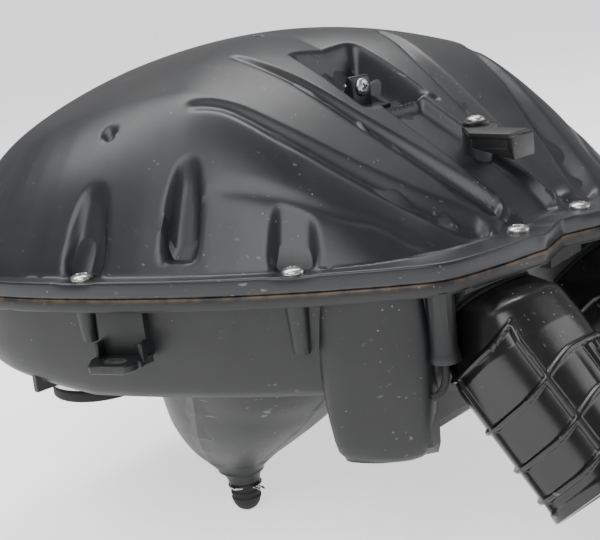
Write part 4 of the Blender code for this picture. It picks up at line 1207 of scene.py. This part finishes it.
@dataclass
class Outlets:
    """Bell mouths inside, rubber boots and worm-drive clamps outside."""

    palette: Palette
    copies: Instancer
    screws: Screws
    places: tuple = (-107.0, -36.0, 36.0, 107.0)
    radius: float = 23.0

    def build(self) -> None:
        """Make the four outlets."""
        r, floor = self.radius, FLOOR_Z + WALL
        for n, x in enumerate(self.places, 1):
            tall = 30.0 if abs(x) < 80 else 22.0
            lip = floor + tall
            bell = [(r + 5, floor + 3.3), (r + 5.2, floor + 2.9), (r + 5.2, floor + 0.6), (r + 5, floor + 0.3),
                    (r + 1, floor + 0.3), (r + 1, SEAT_Z + 2), (r - 1.2, SEAT_Z + 2), (r - 1.2, lip - 9)]
            bell += [(r - 1.2 + 8.0 * (1 - math.cos(t)), lip - 9 + 8.6 * math.sin(t))
                     for t in np.linspace(0.15, 1.5, 12)]
            bell += [(r + 7.4, lip - 0.1), (r + 7.5, lip - 0.8), (r + 6.6, lip - 1.3)]
            bell += [(r + 1 + 5.6 * (1 - math.cos(t)), lip - 9 + 7.4 * math.sin(t))
                     for t in np.linspace(1.35, 0.1, 8)]
            bell += [(r + 1, floor + 4.2), (r + 2, floor + 3.3)]
            stack = revolve(f"bell_mouth_{n}", bell, (x, SEAT_Y), 96, True)
            dress(stack, Body.CASE, self.palette.stack, "stack_plastic", f"velocity_stack_{n}")
            top = SEAT_Z - 0.3
            boot = [(r + 6.4, top), (r + 7, top - 0.6), (r + 7, top - 2.6), (r + 6.2, top - 3.3),
                    (r + 4.2, top - 4.0)]
            for ridge in (5.6, 8.0):
                boot += [(r + 3.0, top - ridge + 0.7), (r + 3.5, top - ridge), (r + 3.0, top - ridge - 0.7)]
            boot += [(r + 3.0, top - 16), (r + 3.9, top - 16.8), (r + 4.1, top - 17.4), (r + 4.1, top - 21.4),
                     (r + 3.6, top - 22), (r + 0.5, top - 22), (r, top - 21.5), (r, top - 0.5), (r + 0.4, top)]
            rubber = revolve(f"boot_{n}", boot, (x, SEAT_Y), 80, True)
            dress(rubber, Body.CASE, self.palette.rubber, "rubber", f"throttle_boot_{n}")
            self.clamp(n, x, top - 12.5)

    def clamp(self, n: int, x: float, level: float) -> None:
        """One worm-drive clamp: band, perforations, housing and screw.

        Args:
            n: Which outlet.
            x: The outlet's x.
            level: Height of the band's middle.
        """
        r = self.radius + 3.45
        band = [(r, level + 2.8), (r + 0.45, level + 3.0), (r + 0.7, level + 2.7), (r + 0.7, level - 2.7),
                (r + 0.45, level - 3.0), (r, level - 2.8)]
        parts = [revolve("band", band, (x, SEAT_Y), 80, True)]
        house = [(SEAT_Y + r + 0.2, level - 2.6), (SEAT_Y + r + 4.6, level - 2.2), (SEAT_Y + r + 5.8, level),
                 (SEAT_Y + r + 4.6, level + 2.2), (SEAT_Y + r + 0.2, level + 2.6)]
        parts.append(prism("house", house, x - 4, x + 4, "x", 0.4))
        dress(merge(f"clamp_band_{n}", parts), Body.CASE, self.palette.zinc, "zinc", f"boot_clamp_{n}")
        tooth = bar([(-0.35, -1.9), (0.35, -1.9), (0.35, 1.9), (-0.35, 1.9)], 0.5, 0.95)
        turns = [(0, 0, math.radians(a)) for a in range(100, 170, 5)]
        spots = [(x + r * math.cos(t[2]), SEAT_Y + r * math.sin(t[2]), level) for t in turns]
        teeth = self.copies.place(f"clamp_thread_{n}", tooth, spots, self.palette.zinc, turns)
        dress(teeth, Body.CASE, self.palette.zinc, "zinc")
        self.screws.place(f"clamp_screw_{n}", Body.CASE, (2.6, 1.3, 8.0), [(x - 4.4, SEAT_Y + r + 2.9, level)], [],
                          [(0, -math.pi / 2, 0)])


@dataclass
class PanelFilter:
    """Pleated panel, its gauze and the frame that holds them."""

    palette: Palette
    copies: Instancer
    half_w: float = 96.0
    y0: float = 46.0
    y1: float = 178.0
    low: float = TRAY_Z + 5.4
    border: float = 9.0
    pleats: int = 22

    def build(self) -> None:
        """Make the paper and the gauze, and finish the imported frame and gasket."""
        paint_node("filter_frame", self.palette.frame)
        paint_node("filter_gasket", self.palette.foam)
        self.paper()
        self.gauze()

    def paper(self) -> None:
        """Folds of paper, one copy for each pleat."""
        count, first, last = self.pleats, self.y0 + 10, self.y1 - 10
        pitch = (last - first) / count
        h0, h1, t = self.low + 2.4, self.low + 18.6, 0.34
        fold = [(-pitch / 2, h0), (-pitch / 2 + 0.5, h0), (0, h1 - 1.4), (pitch / 2 - 0.5, h0), (pitch / 2, h0),
                (pitch / 2 - 0.1, h0 + 1.0), (t, h1 - 0.2), (0, h1), (-t, h1 - 0.2), (-pitch / 2 + 0.1, h0 + 1.0)]
        template = bar(fold, -self.half_w + self.border, self.half_w - self.border)
        spots = [(0, first + pitch * (k + 0.5), 0) for k in range(count)]
        made = self.copies.place("paper_pleats", template, spots, self.palette.paper)
        dress(made, Body.FILTER, self.palette.paper, "filter_paper", "filter_pleats")

    def gauze(self) -> None:
        """Wires both ways; the real gauze is finer, and these are as coarse as they must be to show."""
        level, gap = self.low + 21.5, 4.0
        wide, deep = self.half_w - self.border, (self.y1 - self.y0) / 2 - self.border
        middle = (self.y0 + self.y1) / 2
        parts = []
        for name, half, cross, is_x in (("warp", wide, deep, True), ("weft", deep, wide, False)):
            wire = bar([(-0.28, -0.28), (0.28, -0.28), (0.28, 0.28), (-0.28, 0.28)], -half, half)
            count = int(2 * cross / gap)
            offsets = [-cross + gap * (k + 0.5) for k in range(count)]
            spots = [(0, middle + o, level - 0.2) if is_x else (o, middle, level + 0.2) for o in offsets]
            turns = [(0, 0, 0) if is_x else (0, 0, math.pi / 2)] * count
            parts.append(self.copies.place(name, wire, spots, self.palette.gauze, turns))
        dress(merge("flame_gauze", parts), Body.FILTER, self.palette.gauze, "steel_mesh", "backfire_screen")


@dataclass
class Drain:
    """Rubber cap and wire clip on the sump's nipple."""

    palette: Palette
    at: tuple = (-85.0, 148.0)

    def build(self) -> None:
        """Make the cap and its clip."""
        cap = [(0.002, -142.5), (5.4, -142.2), (5.5, -131.6), (5.8, -131.2), (7.2, -131.2), (7.7, -131.7)]
        for groove in (135.2, 138.6):
            cap += [(7.85, -groove + 1.1), (7.35, -groove + 0.4), (7.35, -groove - 0.4), (7.85, -groove - 1.1)]
        cap += [(7.5, -141.2), (6.6, -143.6), (5.2, -145.6), (3.0, -147.0), (0.002, -147.2)]
        made = revolve("drain_plug", cap, self.at, 64)
        dress(made, Body.DRAIN_CAP, self.palette.rubber, "rubber", "drain_cap")
        x, y = self.at
        route = [(x - 1.6, y - 13.5, -133.0), (x - 1.4, y - 9.2, -133.0)]
        route += [(x + 8.45 * math.cos(a), y + 8.45 * math.sin(a), -133.0)
                  for a in np.radians(np.arange(-115, -426, -20) * -1 - 215)]
        route += [(x + 1.4, y - 9.2, -133.6), (x + 1.6, y - 13.5, -133.6)]
        clip = tube("wire_clip", route, 0.55, 12)
        dress(clip, Body.DRAIN_CAP, self.palette.zinc, "zinc", "drain_clip")


@dataclass
class Studio:
    """Pale floor, soft lights and the camera."""

    floor_z: float = -0.0836
    floor_half: float = 40.0

    def build(self) -> None:
        """Make the floor, the lights and the camera."""
        self.floor()
        self.lights()
        self.camera()

    def floor(self) -> None:
        """A wide pale floor."""
        half = self.floor_half
        points = [(-half, -half, self.floor_z), (half, -half, self.floor_z), (half, half, self.floor_z),
                  (-half, half, self.floor_z)]
        obj = new_object("studio_floor", np.array(points), [[0, 1, 2, 3]])
        mat = bpy.data.materials.new("matte_white_paper")
        mat.use_nodes = True
        shader = mat.node_tree.nodes["Principled BSDF"]
        shader.inputs["Base Color"].default_value = linear("#f4f4f4")
        shader.inputs["Roughness"].default_value = 0.9
        shader.inputs["Emission Color"].default_value = linear("#ffffff")
        shader.inputs["Emission Strength"].default_value = 1.1
        obj.data.materials.append(mat)

    def lights(self) -> None:
        """A surround white to the camera and dimmer to the object, a broad key, a strip and a fill."""
        sky = bpy.data.worlds.new("studio_white")
        sky.use_nodes = True
        ground = sky.node_tree.nodes["Background"]
        ground.inputs["Color"].default_value = linear("#ffffff")
        seen = add_node(sky.node_tree, "ShaderNodeLightPath").outputs["Is Camera Ray"]
        strength = add_node(sky.node_tree, "ShaderNodeMapRange", inputs={
            "Value": seen, "To Min": 0.38, "To Max": 1.7}).outputs["Result"]
        sky.node_tree.links.new(strength, ground.inputs["Strength"])
        bpy.context.scene.world = sky
        for name, place, aim, size, power in (
                ("key", (-1.3, -0.7, 1.5), (0, 0, 0.05), (1.4, 1.4), 30.0),
                ("strip", (0.1, 0.5, 1.3), (0, 0, 0.1), (2.2, 0.5), 22.0),
                ("fill", (1.4, -1.3, 0.7), (0, -0.1, 0.0), (1.0, 1.0), 8.0)):
            lamp = bpy.data.lights.new(name, "AREA")
            lamp.shape = "RECTANGLE"
            lamp.size, lamp.size_y = size
            lamp.energy = power
            obj = bpy.data.objects.new(name, lamp)
            bpy.context.scene.collection.objects.link(obj)
            obj.location = place
            obj.rotation_euler = (Vector(aim) - Vector(place)).to_track_quat("-Z", "Y").to_euler()

    def camera(self) -> None:
        """A camera at the front right, a little above the flange."""
        lens = bpy.data.cameras.new("camera")
        lens.lens = 75.0
        lens.sensor_width = 36.0
        obj = bpy.data.objects.new("camera", lens)
        bpy.context.scene.collection.objects.link(obj)
        right, up = Vector((0.708, -0.698, -0.110)), Vector((0.247, 0.099, 0.964))
        back = Vector((-0.662, -0.710, 0.242))
        turn = Matrix((right, up, back)).transposed().to_quaternion()
        obj.matrix_world = Matrix.Translation(Vector((-0.4700, -0.5571, 0.1933))) @ turn.to_matrix().to_4x4()
        bpy.context.scene.camera = obj


def main() -> None:
    """Build every piece in order."""
    logging.basicConfig(level=logging.INFO, format="%(name)s: %(message)s")
    palette, copies, outline = Palette.make(), Instancer(), Outline()
    dome, screws = Dome(outline), Screws(palette, copies)
    Studio().build()
    Cover(dome, palette, copies).build()
    screws.build(dome)
    Case(outline, palette, copies).build()
    Ducts(palette).build()
    Outlets(palette, copies, screws).build()
    PanelFilter(palette, copies).build()
    Drain(palette).build()


if __name__ == "__main__":
    main()
